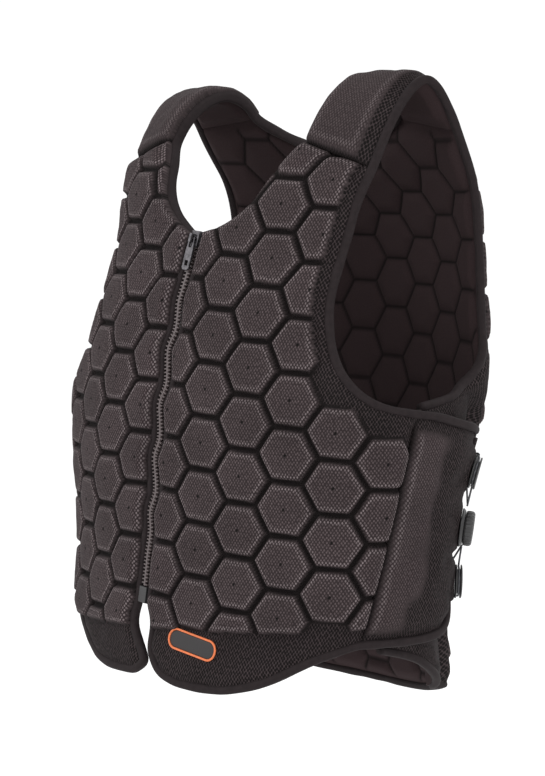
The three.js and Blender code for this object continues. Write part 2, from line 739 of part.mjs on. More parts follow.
function flapPanel(sheet) {
  const bound = BINDING + CLEARANCE;
  const rear = FLAP_REAR - bound;
  const columns = [0, 0.06, 0.22, 0.4, 0.58, 0.74, 0.88, 0.95, 1];
  const rows = [0, 0.05, 0.28, 0.5, 0.72, 0.95, 1];
  const [[seamLow], [seamHigh]] = FLAP_SEAM;
  const locate = (across, up) => {
    const lowArc = THREE.MathUtils.lerp(seamLow, rear, across);
    const highArc = THREE.MathUtils.lerp(seamHigh, rear, across);
    const low = edgeHeight(FLAP_BOTTOM, lowArc, bound);
    const high = edgeHeight(FLAP_TOP, highArc, -bound);
    const z = THREE.MathUtils.lerp(low, high, up);
    return [THREE.MathUtils.lerp(flapSeamArc(z) + HALF_SEAM, rear, across), z];
  };
  const onEdge = (across, up) => across === 0 || across === 1 || up === 0 || up === 1;
  const arcOf = (across, up) => locate(across, up)[0];
  const outer = (across, up) => (onEdge(across, up) ? -FLAP_RIM : 0) - flapSink(arcOf(across, up));
  const inner = (across, up) => {
    const edge = -FLAP_RIM - FLAP_RIM_THICK;
    return (onEdge(across, up) ? edge : -FLAP_THICK) - flapSink(arcOf(across, up));
  };
  return gridShell(sheet, columns, rows, locate, outer, inner);
}

// Shoulder pads

// A width given in millimetres, as a share of the pad's width at one place along it
function padShare(pad, millimetres, along) {
  return millimetres / pad.point(0, along).distanceTo(pad.point(1, along));
}

function shoulderPad(sheet) {
  const columns = [0, 0.06, 0.35, 0.6, 0.84, 1];
  const rows = PAD_ROWS.map((along) => THREE.MathUtils.clamp(along, PAD_SEAM, 1 - PAD_SEAM));
  const locate = (across, along) => {
    const edge = padShare(sheet, BINDING + CLEARANCE, along);
    return [THREE.MathUtils.lerp(edge, 1 - edge, across), along];
  };
  const flat = (u, v) => u === 0 || u > 0.8 || v === rows[0] || v === rows.at(-1);
  const outer = (u, v) => (flat(u, v) ? RIM_OUTER : PLAIN_TOP);
  const inner = (u, v) => (flat(u, v) ? RIM_INNER : PAD_INNER);
  return gridShell(sheet, columns, rows, locate, outer, inner);
}

// Bindings: a half-round strip carried along the finished edges

// Stations along an edge line: the middle of the strip, the way out of the panel, and the normal
function edgeStations(sheet, line, depth, scale = 1) {
  return line.map((point, i) => {
    const before = line[Math.max(i - 1, 0)];
    const after = line[Math.min(i + 1, line.length - 1)];
    const inward = leftNormal(before, after);
    const middle = point.clone().addScaledVector(inward, (BINDING / 2) * scale);
    const level = typeof depth === 'function' ? depth(middle) : depth;
    const position = sheet.at(middle.x, middle.y, level);
    const outside = middle.clone().addScaledVector(inward, (-BINDING / 2) * scale);
    const outward = sheet.at(outside.x, outside.y, level).sub(position);
    return { position, outward, normal: sheet.normal(middle.x, middle.y) };
  });
}

// Five-sided strip section, in half widths and half thicknesses: flat to the panel, round outside
const STRIP_SECTION = [[-1, -0.75], [0.3, -1], [1, 0], [0.3, 1], [-1, 0.75]];

function stripAlong(stations) {
  const shell = new ShellBuilder();
  const sides = STRIP_SECTION.length;
  const half = BINDING_THICK / 2;
  const ring = stations.map(({ position, outward, normal }, i) => STRIP_SECTION.map(([w, t], k) => {
    const place = () => position.clone().addScaledVector(outward, w).addScaledVector(normal, t * half);
    return shell.vertex(`${i} ${k}`, place);
  }));
  const along = stations[1].position.clone().sub(stations[0].position);
  const flip = stations[0].outward.clone().cross(stations[0].normal).dot(along) < 0;
  for (let i = 0; i + 1 < ring.length; i += 1) {
    for (let k = 0; k < sides; k += 1) {
      const next = (k + 1) % sides;
      shell.triangle(ring[i][k], ring[i][next], ring[i + 1][next], flip);
      shell.triangle(ring[i][k], ring[i + 1][next], ring[i + 1][k], flip);
    }
  }
  for (let k = 1; k + 1 < sides; k += 1) {
    shell.triangle(ring[0][0], ring[0][k + 1], ring[0][k], flip);
    shell.triangle(ring.at(-1)[0], ring.at(-1)[k], ring.at(-1)[k + 1], flip);
  }
  return shell.geometry();
}

const RIM_MIDDLE = (RIM_OUTER + RIM_INNER) / 2;
const FLAP_MIDDLE = -FLAP_RIM - FLAP_RIM_THICK / 2;

// Depth of the strip: it follows the panel and eases to the flap's thinner edge past the seam
function frontStripDepth(point) {
  const onFlap = smoothstep(...FLAP_EASE, point.x - flapSeamArc(point.y));
  return THREE.MathUtils.lerp(RIM_MIDDLE, FLAP_MIDDLE, onFlap) - flapSink(point.x);
}

function backStripDepth(point) {
  return RIM_MIDDLE - wingSink(point.x, point.y);
}

// Front edge: down the zip, round the hem and up the flap's rear edge
function frontEdgeBinding({ side, vent, hem }) {
  const cornerGap = BINDING + 2 * CLEARANCE;
  const rear = [FLAP_BOTTOM.at(-1), [FLAP_REAR, edgeHeight(FLAP_TOP, FLAP_REAR) - cornerGap - 1]];
  const lines = [
    smoothEdge(zipEdge(side, ZIP_TOP - cornerGap)),
    smoothEdge(vent),
    smoothEdge(hem),
    smoothEdge(FLAP_BOTTOM, CORNER_STEP),
    smoothEdge(rear),
  ];
  return stripAlong(edgeStations(frontSheet(side), chain(lines), frontStripDepth));
}

// One line from several that meet end to end
function chain(lines) {
  return lines.flatMap((line, i) => (i ? line.slice(1) : line));
}

// Armhole: along the flap's top, up the front strap, over the shoulder and down the back
function armholeBinding(side) {
  const front = frontSheet(side);
  const pad = padSheet(side);
  const flapTop = smoothEdge(FLAP_TOP).reverse();
  const frontLine = chain([flapTop, smoothEdge(ARMHOLE_FRONT)]);
  const backLine = smoothEdge(ARMHOLE_BACK, ARMHOLE_STEP).reverse();
  const backSide = backLine.map((point) => new THREE.Vector2(side * point.x, point.y));
  return stripAlong([
    ...edgeStations(front, frontLine, frontStripDepth).slice(0, -1),
    ...padStations(pad, 1, PAD_ROWS),
    ...edgeStations(backSheet, backSide, backStripDepth, -side).slice(1),
  ]);
}

// Stations on one rail of the shoulder pad: the arm side (1) or the neck side (0)
function padStations(pad, rail, steps) {
  return steps.map((along) => {
    const half = padShare(pad, BINDING / 2, along);
    const across = rail ? 1 - half : half;
    const position = pad.at(across, along, RIM_MIDDLE);
    const outward = pad.at(rail, along, RIM_MIDDLE).sub(position).clampLength(0, BINDING / 2);
    return { position, outward, normal: pad.normal(across, along) };
  });
}

// Neck: from the zip up one strap, round the back of the neck and down to the zip again
function neckBinding() {
  const mirrored = smoothEdge(NECK_BACK.right).map((point) => new THREE.Vector2(-point.x, point.y));
  const across = [...mirrored, ...smoothEdge(NECK_BACK.left).reverse().slice(1)];
  const right = edgeStations(frontSheet(-1), smoothEdge(neckFrontEdge(-1)), RIM_MIDDLE).reverse();
  const left = edgeStations(frontLeft, smoothEdge(neckFrontEdge(1)), RIM_MIDDLE);
  return stripAlong([
    ...right.slice(0, -1),
    ...padStations(padSheet(-1), 0, PAD_ROWS),
    ...edgeStations(backSheet, across, RIM_MIDDLE, -1).slice(1, -1),
    ...padStations(padSheet(1), 0, [...PAD_ROWS].reverse()),
    ...left.slice(1),
  ]);
}

function backHemBinding() {
  const half = smoothEdge(BACK_HEM);
  const line = [...half.slice(1).reverse().map((point) => new THREE.Vector2(-point.x, point.y)), ...half];
  return stripAlong(edgeStations(backSheet, line, backStripDepth));
}

// Zip

function zipHeights() {
  return Array.from({ length: ZIP_STEPS }, (_, i) => (
    THREE.MathUtils.lerp(ZIP_BOTTOM + BOX_LENGTH, ZIP_TOP - 2, i / (ZIP_STEPS - 1))
  ));
}

function zipStrip(from, to, depths) {
  const sheet = makeSheet(bodyPoint, 1, 0.5);
  const locate = (u, v) => [u + zipArc(v), v];
  return gridShell(sheet, [from, to], zipHeights(), locate, () => depths[1], () => depths[0]);
}

// Group set on the body: local Z points out, local Y up along the surface
function bodyFrame(arc, z, depth, side = 1) {
  const sheet = frontSheet(side);
  const frame = new THREE.Group();
  const out = sheet.normal(arc, z);
  const up = sheet.point(arc, z + 1).sub(sheet.point(arc, z - 1)).normalize();
  const right = up.clone().cross(out).normalize();
  frame.setRotationFromMatrix(new THREE.Matrix4().makeBasis(right, out.clone().cross(right), out));
  frame.position.copy(sheet.at(arc, z, depth));
  group.add(frame);
  return frame;
}

// Group set on the zip, turned to its lean
function zipFrame(z, depth) {
  const frame = bodyFrame(zipArc(z), z, depth);
  frame.rotateZ(-ZIP_LEAN);
  return frame;
}

function boxShape(left, bottom, right, top) {
  return new THREE.Shape(rectangle(left, bottom, right, top));
}

function extrude(shape, depth, steps = {}) {
  return new THREE.ExtrudeGeometry(shape, { depth, bevelEnabled: false, ...steps });
}

// Slider: a channel over the chain with a small bridge that holds the pull
function zipSlider() {
  const [base, face] = SLIDER_PLATE;
  const floor = CHAIN_DEPTHS[0] + CLEARANCE - base;
  const wall = CHAIN_HALF + 0.4;
  const channel = new THREE.Shape(vectors([
    [-SLIDER_HALF, floor], [-wall, floor], [-wall, 0], [wall, 0],
    [wall, floor], [SLIDER_HALF, floor], [SLIDER_HALF, face - base], [-SLIDER_HALF, face - base],
  ]));
  const body = extrude(channel, SLIDER_LENGTH);
  body.translate(0, 0, -SLIDER_LENGTH / 2);
  body.rotateX(Math.PI / 2);
  const foot = face - base - 0.4;
  const pivot = PULL_DEPTH - base;
  const bridge = boxShape(-4, foot, 4, pivot + 3.4);
  bridge.holes.push(new THREE.Path(rectangle(-2, pivot - 1.6, 2, pivot + 1.6).reverse()));
  const arch = extrude(bridge, 2 * BRIDGE_HALF);
  arch.translate(0, 0, -BRIDGE_HALF);
  arch.rotateY(-Math.PI / 2);
  arch.rotateX(Math.PI / 2);
  arch.rotateZ(Math.PI);
  return joined([body, arch]);
}

// Pull tab: a plate that widens below its slot round the bridge, with a square hole near its lower end
function zipPull() {
  const half = PULL_WIDTH / 2;
  const bar = 1;
  const plate = new THREE.Shape();
  plate.moveTo(half - 1.4, bar);
  plate.lineTo(-half + 1.4, bar);
  plate.lineTo(-half, -12);
  plate.lineTo(-half, bar - PULL_LENGTH + 2);
  plate.lineTo(-half + 2, bar - PULL_LENGTH);
  plate.lineTo(half - 2, bar - PULL_LENGTH);
  plate.lineTo(half, bar - PULL_LENGTH + 2);
  plate.lineTo(half, -12);
  plate.closePath();
  plate.holes.push(new THREE.Path(rectangle(-2.2, -8.4, 2.2, -bar).reverse()));
  plate.holes.push(new THREE.Path(rectangle(-2.2, -25, 2.2, -20.4).reverse()));
  const geometry = extrude(plate, PULL_THICK);
  geometry.translate(0, 0, -PULL_THICK / 2);
  return geometry;
}

// Lacing

function toManifold(geometry) {
  const plain = geometry.clone();
  plain.deleteAttribute('normal');
  plain.deleteAttribute('uv');
  const merged = mergeVertices(plain, 1e-4);
  return new wasm.Manifold(new wasm.Mesh({
    numProp: 3,
    vertProperties: new Float32Array(merged.attributes.position.array),
    triVerts: new Uint32Array(merged.index.array),
  }));
}

function fromManifold(solid) {
  const mesh = solid.getMesh();
  const geometry = new THREE.BufferGeometry();
  geometry.setAttribute('position', new THREE.BufferAttribute(new Float32Array(mesh.vertProperties), 3));
  geometry.setIndex(new THREE.BufferAttribute(new Uint32Array(mesh.triVerts), 1));
  geometry.computeVertexNormals();
  return geometry;
}

function joined(geometries) {
  return fromManifold(geometries.map(toManifold).reduce((sum, solid) => sum.add(solid)));
}

// Turned solid with its axis along Z, from radius and height pairs
function turned(profile, sides) {
  const lathe = new THREE.LatheGeometry(vectors(profile), sides);
  lathe.rotateX(Math.PI / 2);
  return lathe;
}

function dialBase() {
  const r = DIAL_BASE_RADIUS;
  const h = DIAL_BASE_HEIGHT;
  return turned([[0, 0], [r, 0], [r, h * 0.4], [r - 1.5, h], [0, h]], DIAL_SIDES);
}

function dialKnob() {
  const r = KNOB_RADIUS;
  const h = KNOB_HEIGHT;
  return turned([[0, 0], [r - 1, 0], [r, 1.5], [r, h - 2], [r - 2.5, h], [0, h]], DIAL_SIDES);
}

// Half-moon guide: a core between two plates, with its round side towards local +X or -X
function laceGuide(direction) {
  const moon = (radius) => {
    const shape = new THREE.Shape();
    shape.absarc(0, 0, radius, -Math.PI / 2, Math.PI / 2, false);
    shape.closePath();
    return shape;
  };
  const curveSegments = 5;
  const plate = extrude(moon(GUIDE_RADIUS), GUIDE_PLATE, { curveSegments });
  const core = extrude(moon(GUIDE_CORE), GUIDE_SLOT + 1, { curveSegments });
  core.translate(0, 0, GUIDE_PLATE - 0.5);
  const cap = plate.clone();
  cap.translate(0, 0, GUIDE_PLATE + GUIDE_SLOT);
  const guide = joined([plate, core, cap]);
  if (direction < 0) guide.rotateZ(Math.PI);
  return guide;
}

const GUIDE_SEAT = 1.1;
const LACE_LIFT = GUIDE_SEAT + GUIDE_PLATE + GUIDE_SLOT / 2;
const LACE_TURN = GUIDE_CORE + 1.1 + LACE_RADIUS;
const LACE_LEAD = 3;
const LACE_PORT_GAP = 1.6;
const LACE_PORTS = [4, 10];

// Depth of the surface that a lacing piece sits on
function lacingSeat(arc) {
  return arc < FLAP_REAR ? -flapSink(arc) : GROOVE;
}

// Cord route of one lacing station: dial, round the flap guide, round the back guide, dial again
function laceRoute(side, up) {
  const flapFrame = bodyFrame(FLAP_GUIDE_ARC, DIAL.z + up * GUIDE_OFFSET, lacingSeat(FLAP_GUIDE_ARC), side);
  const backFrame = bodyFrame(BACK_GUIDE_ARC, DIAL.z + up * GUIDE_OFFSET, lacingSeat(BACK_GUIDE_ARC), side);
  const dialFrame = bodyFrame(DIAL.arc, DIAL.z, lacingSeat(DIAL.arc), side);
  for (const frame of [flapFrame, backFrame, dialFrame]) frame.updateMatrixWorld(true);
  const halfTurn = (frame, direction, from) => [0, 0.25, 0.5, 0.75, 1].map((step) => {
    const angle = Math.PI * step;
    const x = direction * side * LACE_TURN * Math.sin(angle);
    const y = from * up * LACE_TURN * Math.cos(angle);
    return frame.localToWorld(new THREE.Vector3(x, y, LACE_LIFT));
  });
  const portHeight = up * (DIAL_BASE_RADIUS + LACE_PORT_GAP);
  const port = (x) => dialFrame.localToWorld(new THREE.Vector3(side * x, portHeight, LACE_LIFT));
  const leadIn = flapFrame.localToWorld(new THREE.Vector3(side * LACE_LEAD, -up * LACE_TURN, LACE_LIFT));
  const points = [
    port(LACE_PORTS[0]),
    leadIn,
    ...halfTurn(flapFrame, -1, -1),
    ...halfTurn(backFrame, 1, 1),
    port(LACE_PORTS[1]),
  ];
  for (const frame of [flapFrame, backFrame, dialFrame]) group.remove(frame);
  return new THREE.CatmullRomCurve3(points, false, 'centripetal');
}

function laceCord(side, up) {
  const section = new THREE.Shape();
  const sides = 8;
  for (let k = 0; k < sides; k += 1) {
    const angle = (2 * Math.PI * k) / sides;
    const corner = [LACE_RADIUS * Math.cos(angle), LACE_RADIUS * Math.sin(angle)];
    if (k) section.lineTo(...corner);
    else section.moveTo(...corner);
  }
  return extrude(section, 1, { steps: 20, extrudePath: laceRoute(side, up) });
}

// Badge

function pillShape(length, height) {
  const radius = height / 2;
  const straight = length / 2 - radius;
  const shape = new THREE.Shape();
  shape.absarc(straight, 0, radius, -Math.PI / 2, Math.PI / 2, false);
  shape.absarc(-straight, 0, radius, Math.PI / 2, (3 * Math.PI) / 2, false);
  return shape;
}

function badgeRim() {
  const shape = pillShape(BADGE.length, BADGE.height);
  const inside = pillShape(BADGE.length - 2 * BADGE.rim, BADGE.height - 2 * BADGE.rim);
  shape.holes.push(new THREE.Path(inside.getPoints(6).reverse()));
  return extrude(shape, 2, { curveSegments: 6 });
}

function badgePlate() {
  const shrink = 2 * BADGE.rim + 0.6;
  return extrude(pillShape(BADGE.length - shrink, BADGE.height - shrink), 1.4, { curveSegments: 6 });
}

// Assembly

addMesh('back_panel', backPanel(), 'mesh');
addMesh('neck_binding', neckBinding(), 'binding');
addMesh('back_hem_binding', backHemBinding(), 'binding');

for (const [name, front] of Object.entries(FRONTS)) {
  const { side } = front;
  addMesh(`front_panel_${name}`, frontPanel(front, LATTICES[name]), 'mesh');
  addMesh(`side_flap_${name}`, flapPanel(frontSheet(side)), 'mesh');
  addMesh(`shoulder_pad_${name}`, shoulderPad(padSheet(side)), 'mesh');
  addMesh(`armhole_binding_${name}`, armholeBinding(side), 'binding');
  addMesh(`front_edge_binding_${name}`, frontEdgeBinding(front), 'binding');
  const tape = side > 0 ? [TAPE_IN, TAPE_HALF] : [-TAPE_HALF, -TAPE_IN];
  addMesh(`zip_tape_${name}`, zipStrip(...tape, TAPE_DEPTHS), 'tape');

  const dialFrame = bodyFrame(DIAL.arc, DIAL.z, lacingSeat(DIAL.arc) + GUIDE_SEAT, side);
  addMesh(`dial_base_${name}`, dialBase(), 'moulded', dialFrame);
  const knob = addMesh(`dial_knob_${name}`, dialKnob(), 'moulded', dialFrame);
  knob.position.z = DIAL_BASE_HEIGHT + 0.4;
  for (const [level, up] of [['upper', 1], ['lower', -1]]) {
    const z = DIAL.z + up * GUIDE_OFFSET;
    const flapFrame = bodyFrame(FLAP_GUIDE_ARC, z, lacingSeat(FLAP_GUIDE_ARC) + GUIDE_SEAT, side);
    addMesh(`flap_guide_${name}_${level}`, laceGuide(-side), 'moulded', flapFrame);
    const backFrame = bodyFrame(BACK_GUIDE_ARC, z, lacingSeat(BACK_GUIDE_ARC) + GUIDE_SEAT, side);
    addMesh(`back_guide_${name}_${level}`, laceGuide(side), 'moulded', backFrame);
    addMesh(`lace_${name}_${level}`, laceCord(side, up), 'lace');
  }
}

addMesh('zip_chain', zipStrip(-CHAIN_HALF, CHAIN_HALF, CHAIN_DEPTHS), 'moulded');
const sliderFrame = zipFrame(SLIDER_Z, SLIDER_PLATE[0]);
addMesh('zip_slider', zipSlider(), 'metal', sliderFrame);
const pullFrame = zipFrame(SLIDER_Z, PULL_DEPTH);
addMesh('zip_pull', zipPull(), 'metal', pullFrame);
const boxFrame = zipFrame(ZIP_BOTTOM + BOX_LENGTH / 2, CHAIN_DEPTHS[0] - 1.4);
const box = extrude(boxShape(-TAPE_HALF, -BOX_LENGTH / 2, TAPE_HALF, BOX_LENGTH / 2 - CLEARANCE), 5.4);
addMesh('zip_box', box, 'moulded', boxFrame);

const badgeFrame = bodyFrame(BADGE.arc, BADGE.z, GROOVE + BADGE.lift);
badgeFrame.rotateZ(THREE.MathUtils.degToRad(BADGE.tilt));
addMesh('badge_rim', badgeRim(), 'orange', badgeFrame);
addMesh('badge_plate', badgePlate(), 'rubber', badgeFrame);

export default group;
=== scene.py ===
import math

import bmesh
import bpy
import numpy as np
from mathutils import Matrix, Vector


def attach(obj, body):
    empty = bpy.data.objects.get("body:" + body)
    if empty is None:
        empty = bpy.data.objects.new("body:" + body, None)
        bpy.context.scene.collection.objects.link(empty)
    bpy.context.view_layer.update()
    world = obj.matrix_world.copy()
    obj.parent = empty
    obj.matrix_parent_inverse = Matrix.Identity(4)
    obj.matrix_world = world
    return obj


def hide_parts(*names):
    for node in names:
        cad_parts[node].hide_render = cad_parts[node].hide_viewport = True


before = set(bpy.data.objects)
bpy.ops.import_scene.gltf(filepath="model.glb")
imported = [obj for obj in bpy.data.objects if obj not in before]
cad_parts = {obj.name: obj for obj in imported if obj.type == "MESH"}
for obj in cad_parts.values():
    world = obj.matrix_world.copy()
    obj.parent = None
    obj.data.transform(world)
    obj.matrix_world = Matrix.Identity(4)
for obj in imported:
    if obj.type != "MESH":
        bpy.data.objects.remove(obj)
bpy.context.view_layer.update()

bl_info = {
    "name": "Body protector vest",
    "version": (1, 0, 0),
    "blender": (4, 5, 0),
    "location": "View3D > Sidebar > Vest",
    "description": "Quilted panels, bindings, zip, lacing and badge of a padded body protector",
    "category": "Add Mesh",
}

MM = 0.001
VEST = "vest"

# Body sections from hem to shoulder, in millimetres and degrees
# Columns: height, half width, front, back, turn of the front arc, turn of the back arc, corner radius
RINGS = np.array([
    (-545, 208, -180, 112, 27, 26, 78),
    (-500, 207, -168, 104, 27, 26, 76),
    (-460, 206, -160, 97, 27, 26, 74),
    (-360, 214, -150, 99, 27, 26, 72),
    (-270, 225, -143, 119, 27, 26, 70),
    (-180, 210, -126, 128, 27, 25, 72),
    (-120, 203, -107, 125, 27, 22, 70),
    (-80, 206, -98, 110, 27, 18, 60),
    (-36, 212, -76, 80, 27, 15, 34),
    (-10, 215.5, -63, 62.3, 27, 13.2, 19),
], float)

# Tile lattices: first column, first row, parity of the columns that stand half a row higher,
# lean of the columns and drop of the rows
LATTICES = {
    "left": (7.2, -295.4, 1, 0.0, -0.05),
    "right": (38.3, -317.7, 0, -0.1, -0.03),
    "back": (-20.0, -308.5, 1, 0.0, 0.0),
}

# Finished edges of a front, as arc length from the middle of the chest and height
ZIP_GAP, ZIP_TOP, ZIP_BOTTOM = 6, -117, -446
# Arc of the zip's middle at its top and bottom: it leans to the wearer's right
ZIP_ARCS = (-5, -22)
# Waves that the tiles press into the zip: reach, one wave's height, top of the first, skew, middle
ZIP_WAVE, WAVE_HEIGHT, WAVE_TOP, WAVE_SKEW, WAVE_MIDDLE = 2.9, 48.5, -200, 0.35, 1.2
# Heights between which the waves grow at the bottom and die out at the top
WAVE_SPAN = (-408, -368, -186, -164)
# Points along the zip's edge, and how far each side's tiles stay from it
ZIP_STATIONS = 48
ZIP_TILE_INSET = {"left": 9.5, "right": 6.5}
VENT_EDGES = {
    "left": [(-16, ZIP_BOTTOM), (-7, -458), (-6, -470), (-5, -486), (13, -504), (40, -511)],
    "right": [(28, ZIP_BOTTOM), (33, -463), (16, -482), (6, -496), (22, -508)],
}
FRONT_HEMS = {
    "left": [(92, -511), (137, -500), (180, -479), (222, -466)],
    "right": [(62, -509), (92, -506), (125, -495), (151, -485), (185, -473), (222, -466)],
}
FLAP_SEAM = [(222, -466), (268, -263)]
ARMHOLE_FRONT = [(268, -263), (221, -252), (185, -225), (167, -182), (164, -140), (171, -88), (176, -57)]
SHOULDER_SEAM = [(176, -57), (97, -35)]
NECK_FRONT = [(97, -35), (84, -52), (63, -88), (36, -107)]
TILE_FLOOR = -458

# Side flap: top and bottom edges, rear arc, sink towards the rear and the arcs between which it grows
FLAP_TOP = [(268, -263), (290, -266), (323, -275), (374, -287)]
FLAP_BOTTOM = [(222, -466), (290, -468), (330, -463), (354, -447), (374, -416)]
FLAP_REAR, FLAP_SINK, FLAP_FALL = 374, 6, (270, 362)
# Depth of a flap's binding, and the arcs past the seam between which it eases to that depth
FLAP_MIDDLE, FLAP_EASE = -6.0, (-6, 18)
# Flat bands of a flap beside its bottom, rear and top edges, and beside its seam
FLAP_BANDS, FLAP_SEAM_BAND = (14, 12, 19), 2
# Heights over a flap's band: its soft block and the seats of the lacing; drop at its edges
FLAP_BLOCK, LACING_SEAT_HEIGHT, FLAP_PINCH = 5.0, 5.9, 2.2
# Depth of a flap's inner face at its edges, and how much deeper it lies inside them
FLAP_INNER, FLAP_INNER_DROP = -10.2, 1.5

# Finished edges of the back, as arc length from the spine and height
NECK_BACK = {
    "left": [(100, -10), (84, -15), (62, -24), (34, -34), (0, -40)],
    "right": [(100, -10), (82, -20), (62, -29), (34, -37), (0, -40)],
}
SEAM_BACK = [(186, -22), (100, -10)]
ARMHOLE_BACK = [
    (308, -258), (280, -253), (250, -246), (220, -232), (199, -205), (190, -172), (186, -132), (184, -90),
    (186, -22),
]
WING_FRONT = [(300, -475), (308, -258)]
BACK_HEM = [(0, -542), (62, -541), (112, -535), (160, -521), (234, -497), (270, -483), (300, -475)]
BACK_TILE_HALF, BACK_TILE_FLOOR = 138, -498
# The area of the back's tiles widens above the flaps: by how much, and between which heights
BACK_TILE_WIDENING, WIDENING_RISE = 42, (-305, -280)
# Step from the back down to its wings: drop, arc at one height, lean with height, and width
WING_DROP, WING_ARC, WING_Z, WING_LEAN, WING_RISE = 12, 191, -325, 0.186, 12
# The step to the wing eases out above the flap: extra length, and the heights between which it grows
WING_SPREAD, SPREAD_RISE = 42, (-285, -240)

# Depths under the ring surface: groove floor, middle and inner face of a rim, wing's inner face, inner seams
GROOVE, RIM_MIDDLE, RIM_INNER, WING_INNER, INNER_SEAM = -5.2, -9.3, -10.4, -13.8, -14.5
# Pull of each shoulder arch at its neck edge and at its arm edge
ARCHES = {"left": (217, 279), "right": (169, 204)}
# Height below a shoulder seam from which the panel's direction at the seam is taken
PANEL_RUN = 6
SIDES = {"left": 1, "right": -1}

# Panels: insets of their own edges under a binding, at the neck and at a seam
UNDER_BINDING, NECK_INSET, SEAM_INSET = 4.0, 1.2, 0.06
# How far the outer face is drawn down at a bound or sewn edge and at the neck, and how far in it recovers
BOUND_PINCH, NECK_PINCH, PINCH_WIDTH = 3.2, 1.4, 9
# Height of the smooth roll along the fronts' neck edge, which the grooves run into, and where it falls off
NECK_ROLL, ROLL_FALL = 4.2, (2, 7)
# A tile left smaller than this by the panel's edge isn't raised, in square millimetres
SMALLEST_TILE = 140
# Slope of the lowest tiles' edge across the fronts, about this arc
FLOOR_SLOPE, FLOOR_PIVOT = 0.07, 60
# Power of the rounding of a tile's shoulder, and half width and half height over which its crown falls
TILE_ROUNDING, CROWN_RADII = 2.4, (30, 26)
# Unevenness of the tiles: slope of their tilt, spread of their heights, waves on their tops
TILE_TILT, TILE_SPREAD, TILE_WAVES = 0.025, 0.6, 0.16
# Pinned middle of a tile: depth and radius of its dent, and reach of the field that its dark dot is cut from
PIN_DEPTH, PIN_RADIUS, PIN_REACH = 0.8, 2.2, 8
# Plain band beside the tiles: height, unevenness, and how far out from the tiles it rises
BAND_HEIGHT, BAND_UNEVEN, BAND_RISE = 0.9, 0.35, (-3, -9)
# Lining: how far in from a seam its swell is full, and half width of the dark along the seam
SWELL_WIDTH, SEAM_HALF = 13, 1.6
# Extra plumpness of the fronts beyond the ring surface, and the heights and arcs between which it grows
FRONT_PLUMP, PLUMP_FOOT, PLUMP_ARCS = {"left": 0.8, "right": 4.6}, (-400, -330), (30, 110)
# The same of the back, low and high on it and between which heights it changes; width over which it grows
BACK_PLUMP, BACK_PLUMP_RISE, BACK_PLUMP_WIDTH = (0.5, -3.0), (-215, -140), 30
# Heights that the lacing takes up on the back, and the distance over which the plumpness fades towards them
LACING_SPAN, LACING_FADE = (-442, -308), 12
# Length of the steps along the edge of a panel and of a binding, and samples between two points of an edge
OUTLINE_STEP, BINDING_STEP, SPAN_SAMPLES = 6, 4, 60
# Sine of a bend below which an outline counts as straight, and share of a step that a cell may reach past it
STRAIGHT_SINE, CELL_OVERHANG = 0.15, 0.8
PANEL_MATERIALS = ("knitted mesh", "brushed lining")
# Holes of the knitted mesh: distance along a row and between rows
MESH_PITCH = (3.1, 2.15)

# Shoulder pads: length along the arch, flat band beside the arm, height of the crown, drop at the seams
PAD_LENGTH, PAD_ARM_BAND, PAD_BLOCK, PAD_SEAM_DROP = 190, 14, 4.8, 1.6
# Grid of a pad, and the shares of the arch at its ends
PAD_COLUMNS, PAD_ROWS, PAD_ENDS = 64, 120, (0.0003, 0.9997)
# Extra plumpness of a pad's front half, and how far its rear half rolls down to the neck
PAD_PLUMP, PAD_REAR_ROLL = {"left": 0.5, "right": 3.0}, 3.0
# Inner face of a pad: depth inside its rim, and its swell
PAD_INNER, PAD_SWELL = -13.6, 5.2

# Bindings: depth of the neck facing, extra half width of a roll, stations over a pad, flip of left and right
FACING_MIDDLE, ROLL_OVERLAP = -12.4, 0.3
PAD_STEPS = np.linspace(0, 1, 48)
MIRROR = np.array([-1, 1])
# How far below the zip's top and the flap's top a front's binding starts and ends
EDGE_START_DROP, EDGE_END_DROP = 9, 10

# Zip: depths of the teeth and the tape, half width of the tape and its start, length of the end box
CHAIN_DEPTHS, TAPE_DEPTHS, TAPE_HALF, TAPE_START, BOX_LENGTH = (-9.2, -6.2), (-10.8, -9.6), 5.5, 0.8, 15
# Tooth: half widths of head and neck, reach over the middle, slope between them, root
TOOTH_HEAD, TOOTH_NECK, TOOTH_TIP, TOOTH_SLOPE, TOOTH_ROOT = 1.15, 0.75, -1.3, (0.5, 1.5), 4.1
# Tooth's top: how far below it the plan starts to shrink, and by how much
TOOTH_BEVEL, TOOTH_SHRINK = 0.8, np.array([0.9, 0.72])

# Dials, lace guides and laces
DIAL_ARC, DIAL_Z, DIAL_BASE_RADIUS, DIAL_BASE_HEIGHT = 352, -374, 17, 3
KNOB_RADIUS, KNOB_HEIGHT, KNOB_GAP, FLUTES, FLUTE_DEPTH = 15.5, 8, 0.4, 24, 0.55
GUIDE_RADIUS, GUIDE_CORE, GUIDE_PLATE, GUIDE_SLOT, GUIDE_OFFSET = 15, 11, 1.5, 3, 49
FLAP_GUIDE_ARC, BACK_GUIDE_ARC, GUIDE_SEAT = 359, 390, 1.1
LACE_RADIUS, LACE_LEAD, LACE_CLEARANCE, LACE_PORT_GAP, LACE_PORTS = 0.9, 3, 1.1, 1.6, (4, 10)
LACE_LIFT = GUIDE_SEAT + GUIDE_PLATE + GUIDE_SLOT / 2
LACE_TURN = GUIDE_CORE + LACE_CLEARANCE + LACE_RADIUS

# Badge: place, tilt in degrees and lift; then length and height, and width and half height of its rim
BADGE_ARC, BADGE_Z, BADGE_TILT, BADGE_LIFT = 55, -473, -7, 0.1
BADGE_LENGTH, BADGE_HEIGHT, BADGE_RIM, BADGE_RIM_HALF = 58, 19, 2, 1.0
